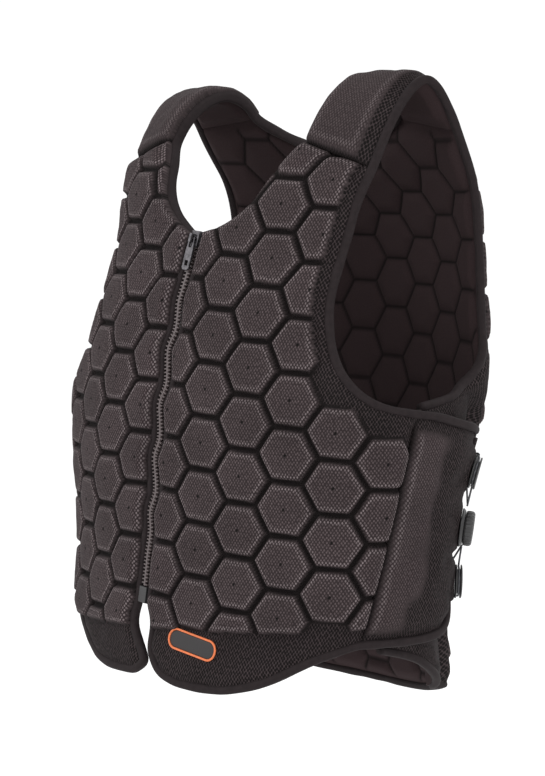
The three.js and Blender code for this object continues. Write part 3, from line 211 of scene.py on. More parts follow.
# Gap between the badge's plate and rim, and the plate's scale and height from its foot to its middle
BADGE_GAP = 0.2
BADGE_LEVELS = [(1.0, 0.0), (1.0, 0.9), (0.985, 1.15), (0.94, 1.25), (0.5, 1.4), (0.02, 1.4)]

# Sway of a flap's folds: how far, and over what length
FOLD_SWAY, FOLD_BEND = 3, 15
# Soft folds of a side flap: arc, height, lean in degrees, half length, half width, depth
FLAP_FOLDS = [
    (338, -330, 8, 34, 6, 3.0),
    (325, -362, -6, 40, 5, 2.6),
    (340, -398, 10, 30, 6, 3.2),
    (318, -428, -12, 36, 6, 2.4),
    (300, -300, 20, 26, 8, 0.9),
    (352, -352, 80, 40, 9, 1.2),
    (286, -390, 84, 46, 10, 0.8),
]


def linear(hex_colour):
    """Scene-linear colour of an sRGB hex value."""
    value = int(hex_colour.lstrip("#"), 16)
    srgb = np.array([(value >> 16) & 255, (value >> 8) & 255, value & 255]) / 255
    rgb = np.where(srgb <= 0.04045, srgb / 12.92, ((srgb + 0.055) / 1.055) ** 2.4)
    return tuple(float(x) for x in rgb)


def length_property(name, description, millimetres):
    return bpy.props.FloatProperty(
        name=name, description=description, default=millimetres * MM, unit="LENGTH", precision=4)


def colour_property(name, description, hex_colour):
    return bpy.props.FloatVectorProperty(
        name=name, description=description, default=linear(hex_colour), subtype="COLOR", size=3, min=0, max=1)


class VestQuiltSizes(bpy.types.PropertyGroup):
    column_pitch: length_property("Column pitch", "Distance between columns of tiles", 45.8)
    row_pitch: length_property("Row pitch", "Distance between tiles of one column", 46.6)
    groove_floor: length_property("Groove floor", "Half width of the sewn groove between tiles", 1.2)
    shoulder: length_property("Tile shoulder", "Width over which a tile's edge rounds up", 3.8)
    tile_height: length_property("Tile height", "Height of a tile above its groove", 5.4)
    crown: length_property("Tile crown", "Extra height at a tile's middle", 1.4)
    lining_swell: length_property("Lining swell", "How far the lining swells between its seams", 4.0)
    front_step: length_property("Front grid", "Grid step of the front panels", 1.7)
    back_step: length_property("Back grid", "Grid step of the back panel", 2.1)


class VestTrimSizes(bpy.types.PropertyGroup):
    binding_width: length_property("Binding width", "Width of the rolled edge", 7.2)
    binding_thickness: length_property("Binding thickness", "Thickness of the rolled edge", 7.8)
    facing_width: length_property("Neck facing width", "How far the neck facing reaches in from the edge", 5)
    facing_depth: length_property("Neck facing depth", "Depth of the facing that closes the neck edge", 10.4)
    tooth_pitch: length_property("Tooth pitch", "Distance between teeth on one side of the zip", 3.2)
    edge_round: length_property("Edge rounding", "Rounding of the small hard parts", 0.35)


class VestColours(bpy.types.PropertyGroup):
    yarn: colour_property("Mesh yarn", "Knitted mesh over the foam", "#2b2425")
    open_yarn: colour_property("Open mesh yarn", "Knitted mesh beside the tiles, with open holes", "#3a3233")
    # Speck colour: foam showing through the mesh on a tile, lightened as a painted highlight on the knitted
    # knots
    speck: colour_property("Foam speck", "Foam that shows through the mesh on a tile", "#544a4b")
    # Painted highlight: this lighter colour is laid along the rims of the tiles, of the flaps' blocks and of
    # the pads' crowns
    rim_highlight_colour: colour_property("Rim speck", "Foam under mesh stretched over a tile's edge", "#776d6e")
    hollow: colour_property("Mesh hollow", "Dark mesh holes, dots of the tiles and zip tape", "#120f0f")
    # Groove colour: dark partly for the mesh pressed into the seam and partly as painted shade in the recess
    groove: colour_property("Groove", "Sewn grooves between the tiles", "#171313")
    lining: colour_property("Lining", "Smooth lining inside", "#322829")
    binding: colour_property("Binding", "Rolled edges", "#251f20")
    plastic: colour_property("Moulded plastic", "Dial, guides and end box", "#2c2b2c")
    teeth: colour_property("Zip teeth", "Teeth of the zip", "#544a4a")
    metal: colour_property("Plated metal", "Zip slider and pull", "#626063")
    lace: colour_property("Lace", "Cord of the lacing", "#4a4a4e")
    badge_rim: colour_property("Badge rim", "Raised rim of the badge", "#d9713f")
    badge_plate: colour_property("Badge plate", "Bare field of the badge", "#211e1f")


# Small array helpers


def lerp(a, b, t):
    return a + (b - a) * t


def smoothstep(start, end, x):
    t = np.clip((x - start) / (end - start), 0, 1)
    return t * t * (3 - 2 * t)


def hermite(t, start, start_slope, end, end_slope):
    """Cubic from a start to an end with a slope at each."""
    return ((2 * t**3 - 3 * t**2 + 1) * start + (t**3 - 2 * t**2 + t) * start_slope
            + (3 * t**2 - 2 * t**3) * end + (t**3 - t**2) * end_slope)


def run_lengths(line):
    """Length along a line at each of its points."""
    return np.concatenate([[0], np.cumsum(np.linalg.norm(np.diff(line, axis=0), axis=1))])


def full_turn(count):
    """Equal steps of angle round a circle."""
    return np.linspace(0, 2 * np.pi, count, endpoint=False)


def unit(vectors):
    return vectors / np.linalg.norm(vectors, axis=-1, keepdims=True)


def flat(rows, z):
    """Plan rows with one height."""
    return np.column_stack([rows, np.full(len(rows), z)])


def left_normal(start, end):
    """Direction to the left of the way from start to end."""
    along = unit(end - start)
    return np.stack([-along[..., 1], along[..., 0]], -1)


def soft_noise(u, v, scale, seed):
    """Smooth noise, mostly from -1 to 1: seven sine waves with seeded directions and phases, summed."""
    rng = np.random.default_rng(seed)
    turns = rng.uniform(0, 2 * np.pi, 7)
    phases = rng.uniform(0, 2 * np.pi, 7)
    waves = 2 * np.pi / (scale * rng.uniform(0.7, 1.6, 7))
    total = sum(np.sin(w * (u * np.cos(a) + v * np.sin(a)) + p) for w, a, p in zip(waves, turns, phases))
    return total / 3.2


def cell_random(cell, seed):
    """A fixed random number from 0 to 1 for each cell number."""
    return np.mod(np.sin(cell * 12.9898 + seed * 78.233) * 43758.5453, 1)


# Body surface


def ring_values(z):
    """Cubic through the section rows, with each row's slope weighted from its two neighbours."""
    heights = RINGS[:, 0]
    spans = np.diff(heights)
    secants = np.diff(RINGS, axis=0) / spans[:, None]
    weighted = secants[:-1] * spans[1:, None] + secants[1:] * spans[:-1, None]
    inner = weighted / (spans[1:] + spans[:-1])[:, None]
    slopes = np.vstack([secants[:1], inner, secants[-1:]])
    height = np.clip(z, heights[0], heights[-1])
    i = np.clip(np.searchsorted(heights, height) - 1, 0, len(spans) - 1)
    span = spans[i][..., None]
    t = (height - heights[i])[..., None] / span
    rows = hermite(t, RINGS[i], span * slopes[i], RINGS[i + 1], span * slopes[i + 1])
    return np.moveaxis(rows[..., 1:], -1, 0)


def ring_arcs(z):
    """The five stretches of a ring: front arc, corner, straight side, corner, back arc, with their ends."""
    half_width, front, back, front_turn, back_turn, corner = ring_values(np.asarray(z, float))
    front_turn, back_turn = np.radians(front_turn), np.radians(back_turn)
    front_radius = (half_width - corner * (1 - np.sin(front_turn))) / np.sin(front_turn)
    back_radius = (half_width - corner * (1 - np.sin(back_turn))) / np.sin(back_turn)
    front_corner = front + front_radius - (front_radius - corner) * np.cos(front_turn)
    back_corner = back - back_radius + (back_radius - corner) * np.cos(back_turn)
    end0 = front_radius * front_turn
    end1 = end0 + corner * (np.pi / 2 - front_turn)
    end2 = end1 + back_corner - front_corner
    end3 = end2 + corner * (np.pi / 2 - back_turn)
    half = end3 + back_radius * back_turn
    turns, radii = (front_turn, back_turn), (front_radius, back_radius)
    corners, ends = (front_corner, back_corner), (end0, end1, end2, end3)
    return half_width, front, back, corner, turns, radii, corners, ends, half


def half_ring(z):
    """Arc length from the middle of the chest to the spine at a height."""
    return ring_arcs(z)[-1]


def body_point(arc, z):
    """Point at a signed arc length from the front centre, on the ring at height z."""
    arc, z = np.broadcast_arrays(np.asarray(arc, float), np.asarray(z, float))
    half_width, front, back, corner, turns, radii, corners, ends, _ = ring_arcs(z)
    s, side = np.abs(arc), np.where(arc < 0, -1.0, 1.0)
    on_front = s / radii[0]
    on_corner = turns[0] + (s - ends[0]) / corner
    on_rear = np.pi / 2 + (s - ends[2]) / corner
    on_back = np.pi - turns[1] + (s - ends[3]) / radii[1]
    where = [s < ends[0], s < ends[1], s < ends[2], s < ends[3]]
    x = np.select(where, [
        radii[0] * np.sin(on_front),
        half_width - corner * (1 - np.sin(on_corner)),
        half_width,
        half_width - corner * (1 - np.sin(on_rear)),
    ], radii[1] * np.sin(on_back))
    y = np.select(where, [
        front + radii[0] * (1 - np.cos(on_front)),
        corners[0] - corner * np.cos(on_corner),
        corners[0] + s - ends[1],
        corners[1] - corner * np.cos(on_rear),
    ], back - radii[1] * (1 + np.cos(on_back)))
    return np.stack([side * x, y, z], -1)


class Sheet:
    """A surface point(u, v). Its outward normal is the cross product of central differences, times turn."""

    def __init__(self, point, turn, step):
        self.point, self.turn, self.step = point, turn, step

    def normal(self, u, v):
        du = self.point(u + self.step, v) - self.point(u - self.step, v)
        dv = self.point(u, v + self.step) - self.point(u, v - self.step)
        return unit(np.cross(du, dv)) * self.turn

    def at(self, u, v, depth):
        depth = np.broadcast_to(depth, np.broadcast(u, v).shape)
        return self.point(u, v) + self.normal(u, v) * depth[..., None]


def front_sheet(side):
    return Sheet(lambda u, v: body_point(side * np.asarray(u), v), side, 0.5)


def back_point(u, v):
    """Point at a signed arc length from the spine."""
    arc = half_ring(v) - np.abs(u)
    return body_point(np.where(np.asarray(u) < 0, -arc, arc), v)


BACK_SHEET = Sheet(back_point, -1, 0.5)


def pad_point(name, across, along):
    """Arch of a shoulder pad: a cubic from the front seam to the back seam, in line with both panels."""
    across, along = np.broadcast_arrays(np.asarray(across, float), np.asarray(along, float))
    ends = []
    for (neck, arm), point in ((SHOULDER_SEAM[::-1], front_sheet(1).point), (SEAM_BACK[::-1], back_point)):
        arc, z = lerp(neck[0], arm[0], across), lerp(neck[1], arm[1], across)
        top = point(arc, z)
        ends.append((top, unit(top - point(arc, z - PANEL_RUN))))
    pull = lerp(*ARCHES[name], across)[..., None]
    (front, rise), (rear, fall) = ends
    return hermite(along[..., None], front, rise * pull, rear, -fall * pull)


def pad_sheet(name):
    mirror = np.array([SIDES[name], 1, 1])
    return Sheet(lambda u, v: pad_point(name, u, v) * mirror, SIDES[name], 0.01)


def zip_arc(z):
    """Arc of the zip at a height: a straight lean, plus a skewed cosine wave that dies out at both ends."""
    lean = np.interp(z, (ZIP_BOTTOM, ZIP_TOP), ZIP_ARCS[::-1])
    turn = 2 * np.pi * (WAVE_TOP - z) / WAVE_HEIGHT
    wave = WAVE_MIDDLE + ZIP_WAVE * np.cos(turn + WAVE_SKEW * (1 - np.cos(turn)))
    low, low_full, high_full, high = WAVE_SPAN
    return lean + wave * smoothstep(low, low_full, z) * (1 - smoothstep(high_full, high, z))


def zip_edge(name, top=ZIP_TOP):
    """Edge of a front along the zip, from a top height down."""
    heights = np.linspace(top, ZIP_BOTTOM, ZIP_STATIONS)
    return list(zip(ZIP_GAP + SIDES[name] * zip_arc(heights), heights))


def neck_front(name):
    return [*NECK_FRONT, zip_edge(name)[0]]


def seam_arc(z):
    """Arc of the seam between a front and its flap at a height."""
    (low, bottom), (high, top) = FLAP_SEAM
    return low + (z - bottom) * (high - low) / (top - bottom)


def flap_sink(arc):
    """How far a flap sinks towards its rear edge."""
    return FLAP_SINK * smoothstep(*FLAP_FALL, arc)


def wing_sink(back_arc, z):
    """How far the back panel sinks towards its wings, to lie under the flaps."""
    foot = WING_ARC + (z - WING_Z) * WING_LEAN
    spread = WING_SPREAD * smoothstep(*SPREAD_RISE, z)
    sunk = smoothstep(foot - WING_RISE, foot + spread, np.abs(back_arc))
    return (WING_DROP + flap_sink(half_ring(z) - np.abs(back_arc))) * sunk


# Outlines in pattern space


def smooth_edge(rows, step):
    """Curve through the rows with tangents from their neighbours, cut into equal steps."""
    rows = np.asarray(rows, float)
    padded = np.vstack([rows[:1], rows, rows[-1:]])
    t = np.linspace(0, len(rows) - 1, SPAN_SAMPLES * (len(rows) - 1) + 1)
    i = np.minimum(t.astype(int), len(rows) - 2)
    w = (t - i)[:, None]
    p0, p1, p2, p3 = (padded[i + k] for k in range(4))
    v0, v1 = (p2 - p0) / 2, (p3 - p1) / 2
    line = hermite(w, p1, v0, p2, v1)
    lengths = run_lengths(line)
    count = max(1, round(lengths[-1] / step))
    stops = np.linspace(0, lengths[-1], count + 1)
    return np.stack([np.interp(stops, lengths, line[:, k]) for k in range(2)], -1)


def chain(lines):
    """One line from several that meet end to end."""
    return np.vstack([line if i == 0 else line[1:] for i, line in enumerate(lines)])


def inset_outline(edges):
    """Closed outline from edges in turn, each moved to its left by its inset, met where moved lines cross."""
    points = np.vstack([line[:-1] for line, _ in edges])
    insets = np.concatenate([np.full(len(line) - 1, inset) for line, inset in edges])
    n1, n2 = left_normal(np.roll(points, 1, 0), points), left_normal(points, np.roll(points, -1, 0))
    d1, d2 = np.roll(insets, 1), insets
    cross = n1[:, 0] * n2[:, 1] - n1[:, 1] * n2[:, 0]
    straight = points + unit(n1 + n2) * ((d1 + d2) / 2)[:, None]
    shift = np.stack([d1 * n2[:, 1] - d2 * n1[:, 1], d2 * n1[:, 0] - d1 * n2[:, 0]], -1)
    bent = np.abs(cross) > STRAIGHT_SINE
    return np.where(bent[:, None], points + shift / np.where(bent, cross, 1)[:, None], straight)


def line_distance(u, v, line):
    """Distance from points to a line of straight pieces, and the nearest point on it."""
    best = np.full(u.shape, np.inf)
    near_u, near_v = np.zeros(u.shape), np.zeros(u.shape)
    for (au, av), (bu, bv) in zip(line[:-1], line[1:]):
        du, dv = bu - au, bv - av
        t = np.clip(((u - au) * du + (v - av) * dv) / (du * du + dv * dv), 0, 1)
        pu, pv = au + t * du, av + t * dv
        distance = np.hypot(u - pu, v - pv)
        closer = distance < best
        best = np.where(closer, distance, best)
        near_u, near_v = np.where(closer, pu, near_u), np.where(closer, pv, near_v)
    return best, near_u, near_v


def inside(u, v, outline):
    """Even-odd test of points against a closed outline."""
    result = np.zeros(u.shape, bool)
    for (au, av), (bu, bv) in zip(outline, np.roll(outline, -1, 0)):
        if av == bv:
            continue
        crosses = ((av > v) != (bv > v)) & (u < au + (bu - au) * (v - av) / (bv - av))
        result ^= crosses
    return result


def cut_grid(outline, step):
    """Square grid over an outline: cells inside are kept, and vertices on their border are moved onto it."""
    low, high = outline.min(0) - 2 * step, outline.max(0) + 2 * step
    u, v = np.meshgrid(np.arange(low[0], high[0], step), np.arange(low[1], high[1], step), indexing="ij")
    distance, near_u, near_v = line_distance(u, v, np.vstack([outline, outline[:1]]))
    signed = np.where(inside(u, v, outline), distance, -distance)
    lowest = np.minimum.reduce([signed[:-1, :-1], signed[1:, :-1], signed[1:, 1:], signed[:-1, 1:]])
    keep = lowest > -CELL_OVERHANG * step
    around = np.pad(keep, 1)
    corners = np.stack([around[:-1, :-1], around[1:, :-1], around[1:, 1:], around[:-1, 1:]])
    border = corners.any(0) & ~corners.all(0)
    u, v = np.where(border, near_u, u), np.where(border, near_v, v)
    return u, v, np.where(border, 0, np.maximum(signed, 0)), keep


def hexagon_cells(u, v, lattice, sizes):
    """Distance in from the border of each point's hexagon, the hexagon's number, the offset from its middle.

    The lattice leans and drops, so points are first turned back to an upright lattice.
    """
    column_pitch, row_pitch = sizes.column_pitch / MM, sizes.row_pitch / MM
    wide, half = column_pitch * 2 / 3, row_pitch / 2
    slant = np.array([half, wide / 2]) / math.hypot(half, wide / 2)
    first_column, first_row, parity, lean, drop = lattice
    x = ((u - first_column) - lean * (v - first_row)) / (1 - lean * drop)
    y = ((v - first_row) - drop * (u - first_column)) / (1 - lean * drop)
    best = np.full(u.shape, -np.inf)
    cell, off_u, off_v = np.zeros(u.shape), np.zeros(u.shape), np.zeros(u.shape)
    for shift in (-1, 0, 1):
        column = np.round(x / column_pitch) + shift
        stagger = np.where(np.mod(np.abs(column + parity), 2) == 1, half, 0)
        row = np.round((y - stagger) / row_pitch)
        du = x - column * column_pitch
        dv = y - stagger - row * row_pitch
        to_slant = wide * slant[0] - slant[0] * np.abs(du) - slant[1] * np.abs(dv)
        border = np.minimum(half - np.abs(dv), to_slant)
        better = border > best
        best = np.where(better, border, best)
        cell = np.where(better, column * 100 + row, cell)
        off_u, off_v = np.where(better, du, off_u), np.where(better, dv, off_v)
    return best, cell, off_u, off_v


# Meshes


def make_object(name, points, faces, material_names, face_material=None, uv=None, shade=None, smooth=True):
    """Object at the origin from millimetre points and faces, with materials, UV map and shade attribute."""
    mesh = bpy.data.meshes.new(name)
    mesh.from_pydata((points * MM).tolist(), [], faces)
    mesh.polygons.foreach_set("use_smooth", np.full(len(mesh.polygons), smooth))
    for material_name in material_names:
        mesh.materials.append(bpy.data.materials[material_name])
    if face_material is not None:
        mesh.polygons.foreach_set("material_index", np.asarray(face_material, np.int32))
    if uv is not None:
        corner = np.zeros(len(mesh.loops), np.int32)
        mesh.loops.foreach_get("vertex_index", corner)
        layer = mesh.uv_layers.new(name="UVMap")
        layer.data.foreach_set("uv", (uv[corner] * MM).astype(np.float32).ravel())
    if shade is not None:
        layer = mesh.attributes.new("shade", "FLOAT_COLOR", "POINT")
        layer.data.foreach_set("color", shade.astype(np.float32).ravel())
    mesh.update()
    obj = bpy.data.objects.new(name, mesh)
    bpy.context.scene.collection.objects.link(obj)
    return obj


def place(obj, nodes, body=VEST):
    """Rides an object on its body in place of the CAD nodes that it stands for."""
    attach(obj, body)
    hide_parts(*nodes)
    return obj


def shell(name, outer, inner, keep, turn, uv, shade, material_names):
    """Closed shell from two point grids: outer faces, inner faces turned round, walls along the border."""
    used = np.zeros((keep.shape[0] + 1, keep.shape[1] + 1), bool)
    for i, j in ((0, 0), (1, 0), (1, 1), (0, 1)):
        used[i:i + keep.shape[0], j:j + keep.shape[1]] |= keep
    index = np.full(used.shape, -1)
    count = int(used.sum())
    index[used] = np.arange(count)
    a, b, c, d = index[:-1, :-1], index[1:, :-1], index[1:, 1:], index[:-1, 1:]
    tops = np.stack([a[keep], b[keep], c[keep], d[keep]], -1)
    around = np.pad(keep, 1)
    open_sides = (
        (a, b, ~around[1:-1, :-2]),
        (b, c, ~around[2:, 1:-1]),
        (c, d, ~around[1:-1, 2:]),
        (d, a, ~around[:-2, 1:-1]),
    )
    walls = []
    for start, end, is_open in open_sides:
        pick = keep & is_open
        s, e = start[pick], end[pick]
        walls.append(np.stack([e, s, s + count, e + count], -1))
    faces = np.vstack([tops, tops[:, ::-1] + count, *walls])
    if turn < 0:
        faces = faces[:, ::-1]
    marks = np.concatenate([np.zeros(len(tops)), np.ones(len(tops)), np.zeros(len(faces) - 2 * len(tops))])
    points = np.vstack([outer[used], inner[used]])
    maps = np.vstack([uv[used], uv[used]])
    shades = np.vstack([shade[0][used], shade[1][used]])
    return make_object(name, points, faces.tolist(), material_names, marks, maps, shades)


def tube_faces(index):
    """Quads between neighbouring rows of point numbers, each row a closed loop."""
    a, b = index[:-1], index[1:]
    return np.stack([a, np.roll(a, -1, 1), np.roll(b, -1, 1), b], -1).reshape(-1, 4).tolist()


def end_faces(index):
    return [index[0, ::-1].tolist(), index[-1].tolist()]


def carry(profile, positions, outwards, normals, closed=False):
    """Profile of outward and normal offsets carried along stations, as points and faces, with flat ends."""
    points = positions[:, None] + outwards[:, None] * profile[None, :, :1]
    points = points + normals[:, None] * profile[None, :, 1:]
    index = np.arange(len(positions) * len(profile)).reshape(len(positions), -1)
    if closed:
        faces = tube_faces(np.vstack([index, index[:1]]))
    else:
        faces = tube_faces(index) + end_faces(index)
    along = positions[1] - positions[0]
    if np.dot(np.cross(outwards[0], normals[0]), along) < 0:
        faces = [face[::-1] for face in faces]
    return points.reshape(-1, 3), faces


def merged(parts):
    """One set of points and faces from several."""
    points, faces, start = [], [], 0
    for part_points, part_faces in parts:
        points.append(part_points)
        faces += [[i + start for i in face] for face in part_faces]
        start += len(part_points)
    return np.vstack(points), faces


def softened_copy(node, material_name):
    """Copy of a hard CAD node with its doubles merged and its edges rounded by a bevel."""
    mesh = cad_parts[node].data.copy()
    work = bmesh.new()
    work.from_mesh(mesh)
    bmesh.ops.remove_doubles(work, verts=work.verts, dist=1e-6)
    bmesh.ops.dissolve_limit(work, angle_limit=math.radians(1), verts=work.verts, edges=work.edges)
    work.to_mesh(mesh)
    work.free()
    mesh.materials.clear()
    mesh.materials.append(bpy.data.materials[material_name])
    obj = bpy.data.objects.new(node + "_finished", mesh)
    bpy.context.scene.collection.objects.link(obj)
    bevel = obj.modifiers.new("edges", "BEVEL")
    bevel.width = bpy.context.scene.vest_trim.edge_round
    bevel.segments = 2
    bevel.limit_method = "ANGLE"
    bevel.angle_limit = math.radians(30)
    return obj


# Materials


def add_node(tree, kind, inputs=None, **settings):
    """Adds a node with its settings. An input that is a socket is linked, and any other value is set."""
    node = tree.nodes.new(kind)
    for key, value in settings.items():
        setattr(node, key, value)
    for key, value in (inputs or {}).items():
        if isinstance(value, bpy.types.NodeSocket):
            tree.links.new(value, node.inputs[key])
        else:
            node.inputs[key].default_value = value
    return node


def new_material(name):
    """Empty node tree of a new material."""
    material = bpy.data.materials.new(name)
    material.use_nodes = True
    material.node_tree.nodes.clear()
    return material.node_tree


def finish_material(tree, **sockets):
    """Principled surface with the given sockets, joined to the output."""
    names = {key.replace("_", " ").title(): value for key, value in sockets.items()}
    names = {key.replace("Ior", "IOR"): value for key, value in names.items()}
    surface = add_node(tree, "ShaderNodeBsdfPrincipled", names)
    add_node(tree, "ShaderNodeOutputMaterial", {"Surface": surface.outputs[0]})


def rgba(colour):
    return (colour[0], colour[1], colour[2], 1.0)


def uv_of(tree):
    return add_node(tree, "ShaderNodeUVMap", uv_map="UVMap").outputs["UV"]


def object_place(tree):
    return add_node(tree, "ShaderNodeTexCoord").outputs["Object"]


def shade_of(tree):
    return add_node(tree, "ShaderNodeAttribute", attribute_name="shade").outputs


def noise(tree, at, millimetres, detail):
    """Noise with features of a given size."""
    inputs = {"Vector": at, "Scale": 1 / (millimetres * MM), "Detail": detail}
    return add_node(tree, "ShaderNodeTexNoise", inputs).outputs[0]


def bands(tree, at, millimetres, distortion, direction):
    """Wavy bands that repeat at a distance along an axis, and at twice that along it where they slant."""
    inputs = {"Vector": at, "Scale": math.pi / (10 * millimetres * MM), "Distortion": distortion}
    return add_node(tree, "ShaderNodeTexWave", inputs, bands_direction=direction).outputs["Fac"]


def ranged(tree, value, start, end, low, high, **settings):
    """Value mapped so that start to end becomes low to high."""
    inputs = {0: value, 1: start, 2: end, 3: low, 4: high}
    return add_node(tree, "ShaderNodeMapRange", inputs, **settings).outputs[0]


def mixed(tree, factor, a, b, blend="MIX"):
    inputs = {0: factor, 6: a, 7: b}
    return add_node(tree, "ShaderNodeMix", inputs, data_type="RGBA", blend_type=blend).outputs[2]


def toned(tree, colour, pattern, low, high, start=0.3, end=0.7):
    """Colour times a pattern that is mapped to run from low to high."""
    return mixed(tree, 1.0, colour, ranged(tree, pattern, start, end, low, high), "MULTIPLY")


def bump(tree, height, strength, millimetres, **settings):
    inputs = {"Height": height, "Strength": strength, "Distance": millimetres * MM}
    return add_node(tree, "ShaderNodeBump", inputs, **settings).outputs[0]


def mesh_holes(tree, uv, tile):
    """One inside a hole of the knit, zero on its threads; the holes are wider away from the tiles.

    The holes sit on a square lattice, turned by 45 degrees and stretched to their two pitches.
    """
    along, between = (pitch * MM for pitch in MESH_PITCH)
    scale = (math.sqrt(2) / along, math.sqrt(2) / (2 * between), 1)
    inputs = {"Vector": uv, "Rotation": (0, 0, math.pi / 4), "Scale": scale}
    lattice = add_node(tree, "ShaderNodeMapping", inputs, vector_type="POINT").outputs[0]
    inputs = {"Vector": lattice, "Scale": 1.0, "Randomness": 0.22}
    cells = add_node(tree, "ShaderNodeTexVoronoi", inputs, voronoi_dimensions="2D")
    edge = ranged(tree, tile, 0, 1, 0.56, 0.46)
    core = ranged(tree, tile, 0, 1, 0.34, 0.20)
    distance = cells.outputs["Distance"]
    return ranged(tree, distance, edge, core, 0.0, 1.0, interpolation_type="SMOOTHSTEP")


def knitted_mesh(colours):
    """Knitted polyester mesh over grey foam: staggered holes, pale over a tile and dark beside it. The specks
    over a tile and the tiles' rims are lightened as painted highlights, and the grooves are dark partly as
    painted shade.
    """
    tree = new_material("knitted mesh")
    uv = uv_of(tree)
    shade = shade_of(tree)
    parts = add_node(tree, "ShaderNodeSeparateColor", {0: shade["Color"]}).outputs
    # rim here is the mask of the painted highlight along the tiles' rims
    tile, rim, dot = parts[0], parts[1], parts[2]
    hole = mesh_holes(tree, uv, tile)
    spread = ranged(tree, noise(tree, uv, 2.2, 1.0), 0.3, 0.7, 0.35, 1.25)
    # Specks over a tile: the foam colour lightened as a painted highlight on the knots
    speck = mixed(tree, spread, rgba(colours.yarn), rgba(colours.speck))
    # Painted highlight: the rim colour is mixed in along each tile's edge
    painted_rim_highlight = mixed(tree, rim, speck, rgba(colours.rim_highlight_colour))
    under = mixed(tree, tile, rgba(colours.hollow), painted_rim_highlight)
    thread = mixed(tree, tile, rgba(colours.open_yarn), rgba(colours.yarn))
    knit = toned(tree, mixed(tree, hole, thread, under), noise(tree, uv, 60, 2.0), 0.85, 1.12)
    # Grooves take the groove colour, dark partly for the pressed mesh and partly as painted shade
    sewn = mixed(tree, shade["Alpha"], knit, rgba(colours.groove))
    pin = ranged(tree, dot, 0.76, 0.84, 0.0, 1.0)
    colour = mixed(tree, pin, sewn, rgba(colours.hollow))
    normal = bump(tree, hole, 0.55, 0.5, invert=True)
    finish_material(tree, base_color=colour, roughness=0.82, normal=normal, specular_ior_level=0.1)


def smooth_lining(colours):
    """Brushed knit lining: matt and even, a little darker along its sewn seams."""
    tree = new_material("brushed lining")
    nap = noise(tree, uv_of(tree), 1.6, 2.0)
    base = toned(tree, rgba(colours.lining), nap, 0.88, 1.1)
    colour = mixed(tree, shade_of(tree)["Alpha"], base, rgba(colours.hollow))
    normal = bump(tree, nap, 0.25, 0.3)
    finish_material(tree, base_color=colour, roughness=0.9, normal=normal, specular_ior_level=0.06)


def stretch_binding(colours):
    """Stretch binding: fine ribs along the strip and a slightly uneven tone."""
    tree = new_material("stretch binding")
    uv = uv_of(tree)
    # Ribs that repeat every 2.4 mm, coarser than a real knit so that they show
    normal = bump(tree, bands(tree, uv, 2.4, 0.6, "Y"), 0.25, 0.25)
    base = toned(tree, rgba(colours.binding), noise(tree, uv, 5, 3.0), 0.8, 1.15)
    finish_material(tree, base_color=base, roughness=0.75, normal=normal, specular_ior_level=0.12)


def moulded_polymer(name, colour, roughness, grit):
    """Moulded or woven polymer: satin to matt, with a faint grit and slight wear of tone."""
    tree = new_material(name)
    speckle = noise(tree, object_place(tree), grit, 2.0)
    base = toned(tree, rgba(colour), speckle, 0.82, 1.15)
    rough = ranged(tree, speckle, 0.3, 0.7, roughness - 0.06, roughness + 0.08)
    finish_material(tree, base_color=base, roughness=rough, normal=bump(tree, speckle, 0.12, 0.2), ior=1.5)


def plated_metal(colours):
    """Die-cast zinc, plated dark: worn a little brighter in places."""
    tree = new_material("plated zinc")
    wear = noise(tree, object_place(tree), 4, 3.0)
    base = toned(tree, rgba(colours.metal), wear, 0.75, 1.4, start=0.35)
    rough = ranged(tree, wear, 0.3, 0.7, 0.28, 0.45)
    finish_material(tree, base_color=base, roughness=rough, metallic=0.9)


def braided_lace(colours):
    """Braided cord: slanting strands that repeat every 6 mm along it."""
    tree = new_material("braided lace")
    strands = bands(tree, uv_of(tree), 3, 0.3, "DIAGONAL")
    base = toned(tree, rgba(colours.lace), strands, 0.6, 1.2, start=0, end=1)
    finish_material(tree, base_color=base, roughness=0.5, normal=bump(tree, strands, 0.4, 0.2))


def make_materials(colours):
    """All materials of the vest; a polymer's numbers are its roughness and the size of its grit."""
    knitted_mesh(colours)
    smooth_lining(colours)
    stretch_binding(colours)
    moulded_polymer("moulded nylon", colours.plastic, 0.42, 0.8)
    moulded_polymer("moulded acetal", colours.teeth, 0.38, 0.6)
    moulded_polymer("woven zip tape", colours.hollow, 0.8, 1.0)
    moulded_polymer("orange rubber", colours.badge_rim, 0.5, 1.2)
    moulded_polymer("dark rubber", colours.badge_plate, 0.55, 0.9)
    plated_metal(colours)
    braided_lace(colours)


# Quilted panels


def front_hem(name):
    return [VENT_EDGES[name][-1], *FRONT_HEMS[name]]


def panel_edges(rows):
    """The rows of a panel's edges, each with its edge made a smooth line."""
    return [(smooth_edge(edge, OUTLINE_STEP), *insets) for edge, *insets in rows]


def front_edges(name):
    """Finished edges of a front: line, inset to the panel's own edge, inset to its tiles, and pinch."""
    return panel_edges([
        (VENT_EDGES[name], UNDER_BINDING, 8, BOUND_PINCH),
        (front_hem(name), UNDER_BINDING, 13, BOUND_PINCH),
        (FLAP_SEAM, SEAM_INSET, 3, BOUND_PINCH),
        (ARMHOLE_FRONT, UNDER_BINDING, 19, BOUND_PINCH),
        (SHOULDER_SEAM, SEAM_INSET, 3, BOUND_PINCH),
        (neck_front(name), NECK_INSET, 3, NECK_PINCH),
        (zip_edge(name), UNDER_BINDING, ZIP_TILE_INSET[name], BOUND_PINCH),
    ])


def back_half_edges(name):
    """Finished edges of one half of the back, in the same form."""
    return panel_edges([
        (BACK_HEM, UNDER_BINDING, 13, BOUND_PINCH),
        (WING_FRONT, SEAM_INSET, 4, BOUND_PINCH),
        (ARMHOLE_BACK, UNDER_BINDING, 14, BOUND_PINCH),
        (SEAM_BACK, SEAM_INSET, 4, BOUND_PINCH),
        (NECK_BACK[name], NECK_INSET, 16, BOUND_PINCH),
    ])


def back_edges():
    """Finished edges of the back: the left half, and the right half mirrored and turned round."""
    left, right = back_half_edges("left"), back_half_edges("right")
    return left + [(line[::-1] * MIRROR, *insets) for line, *insets in reversed(right)]


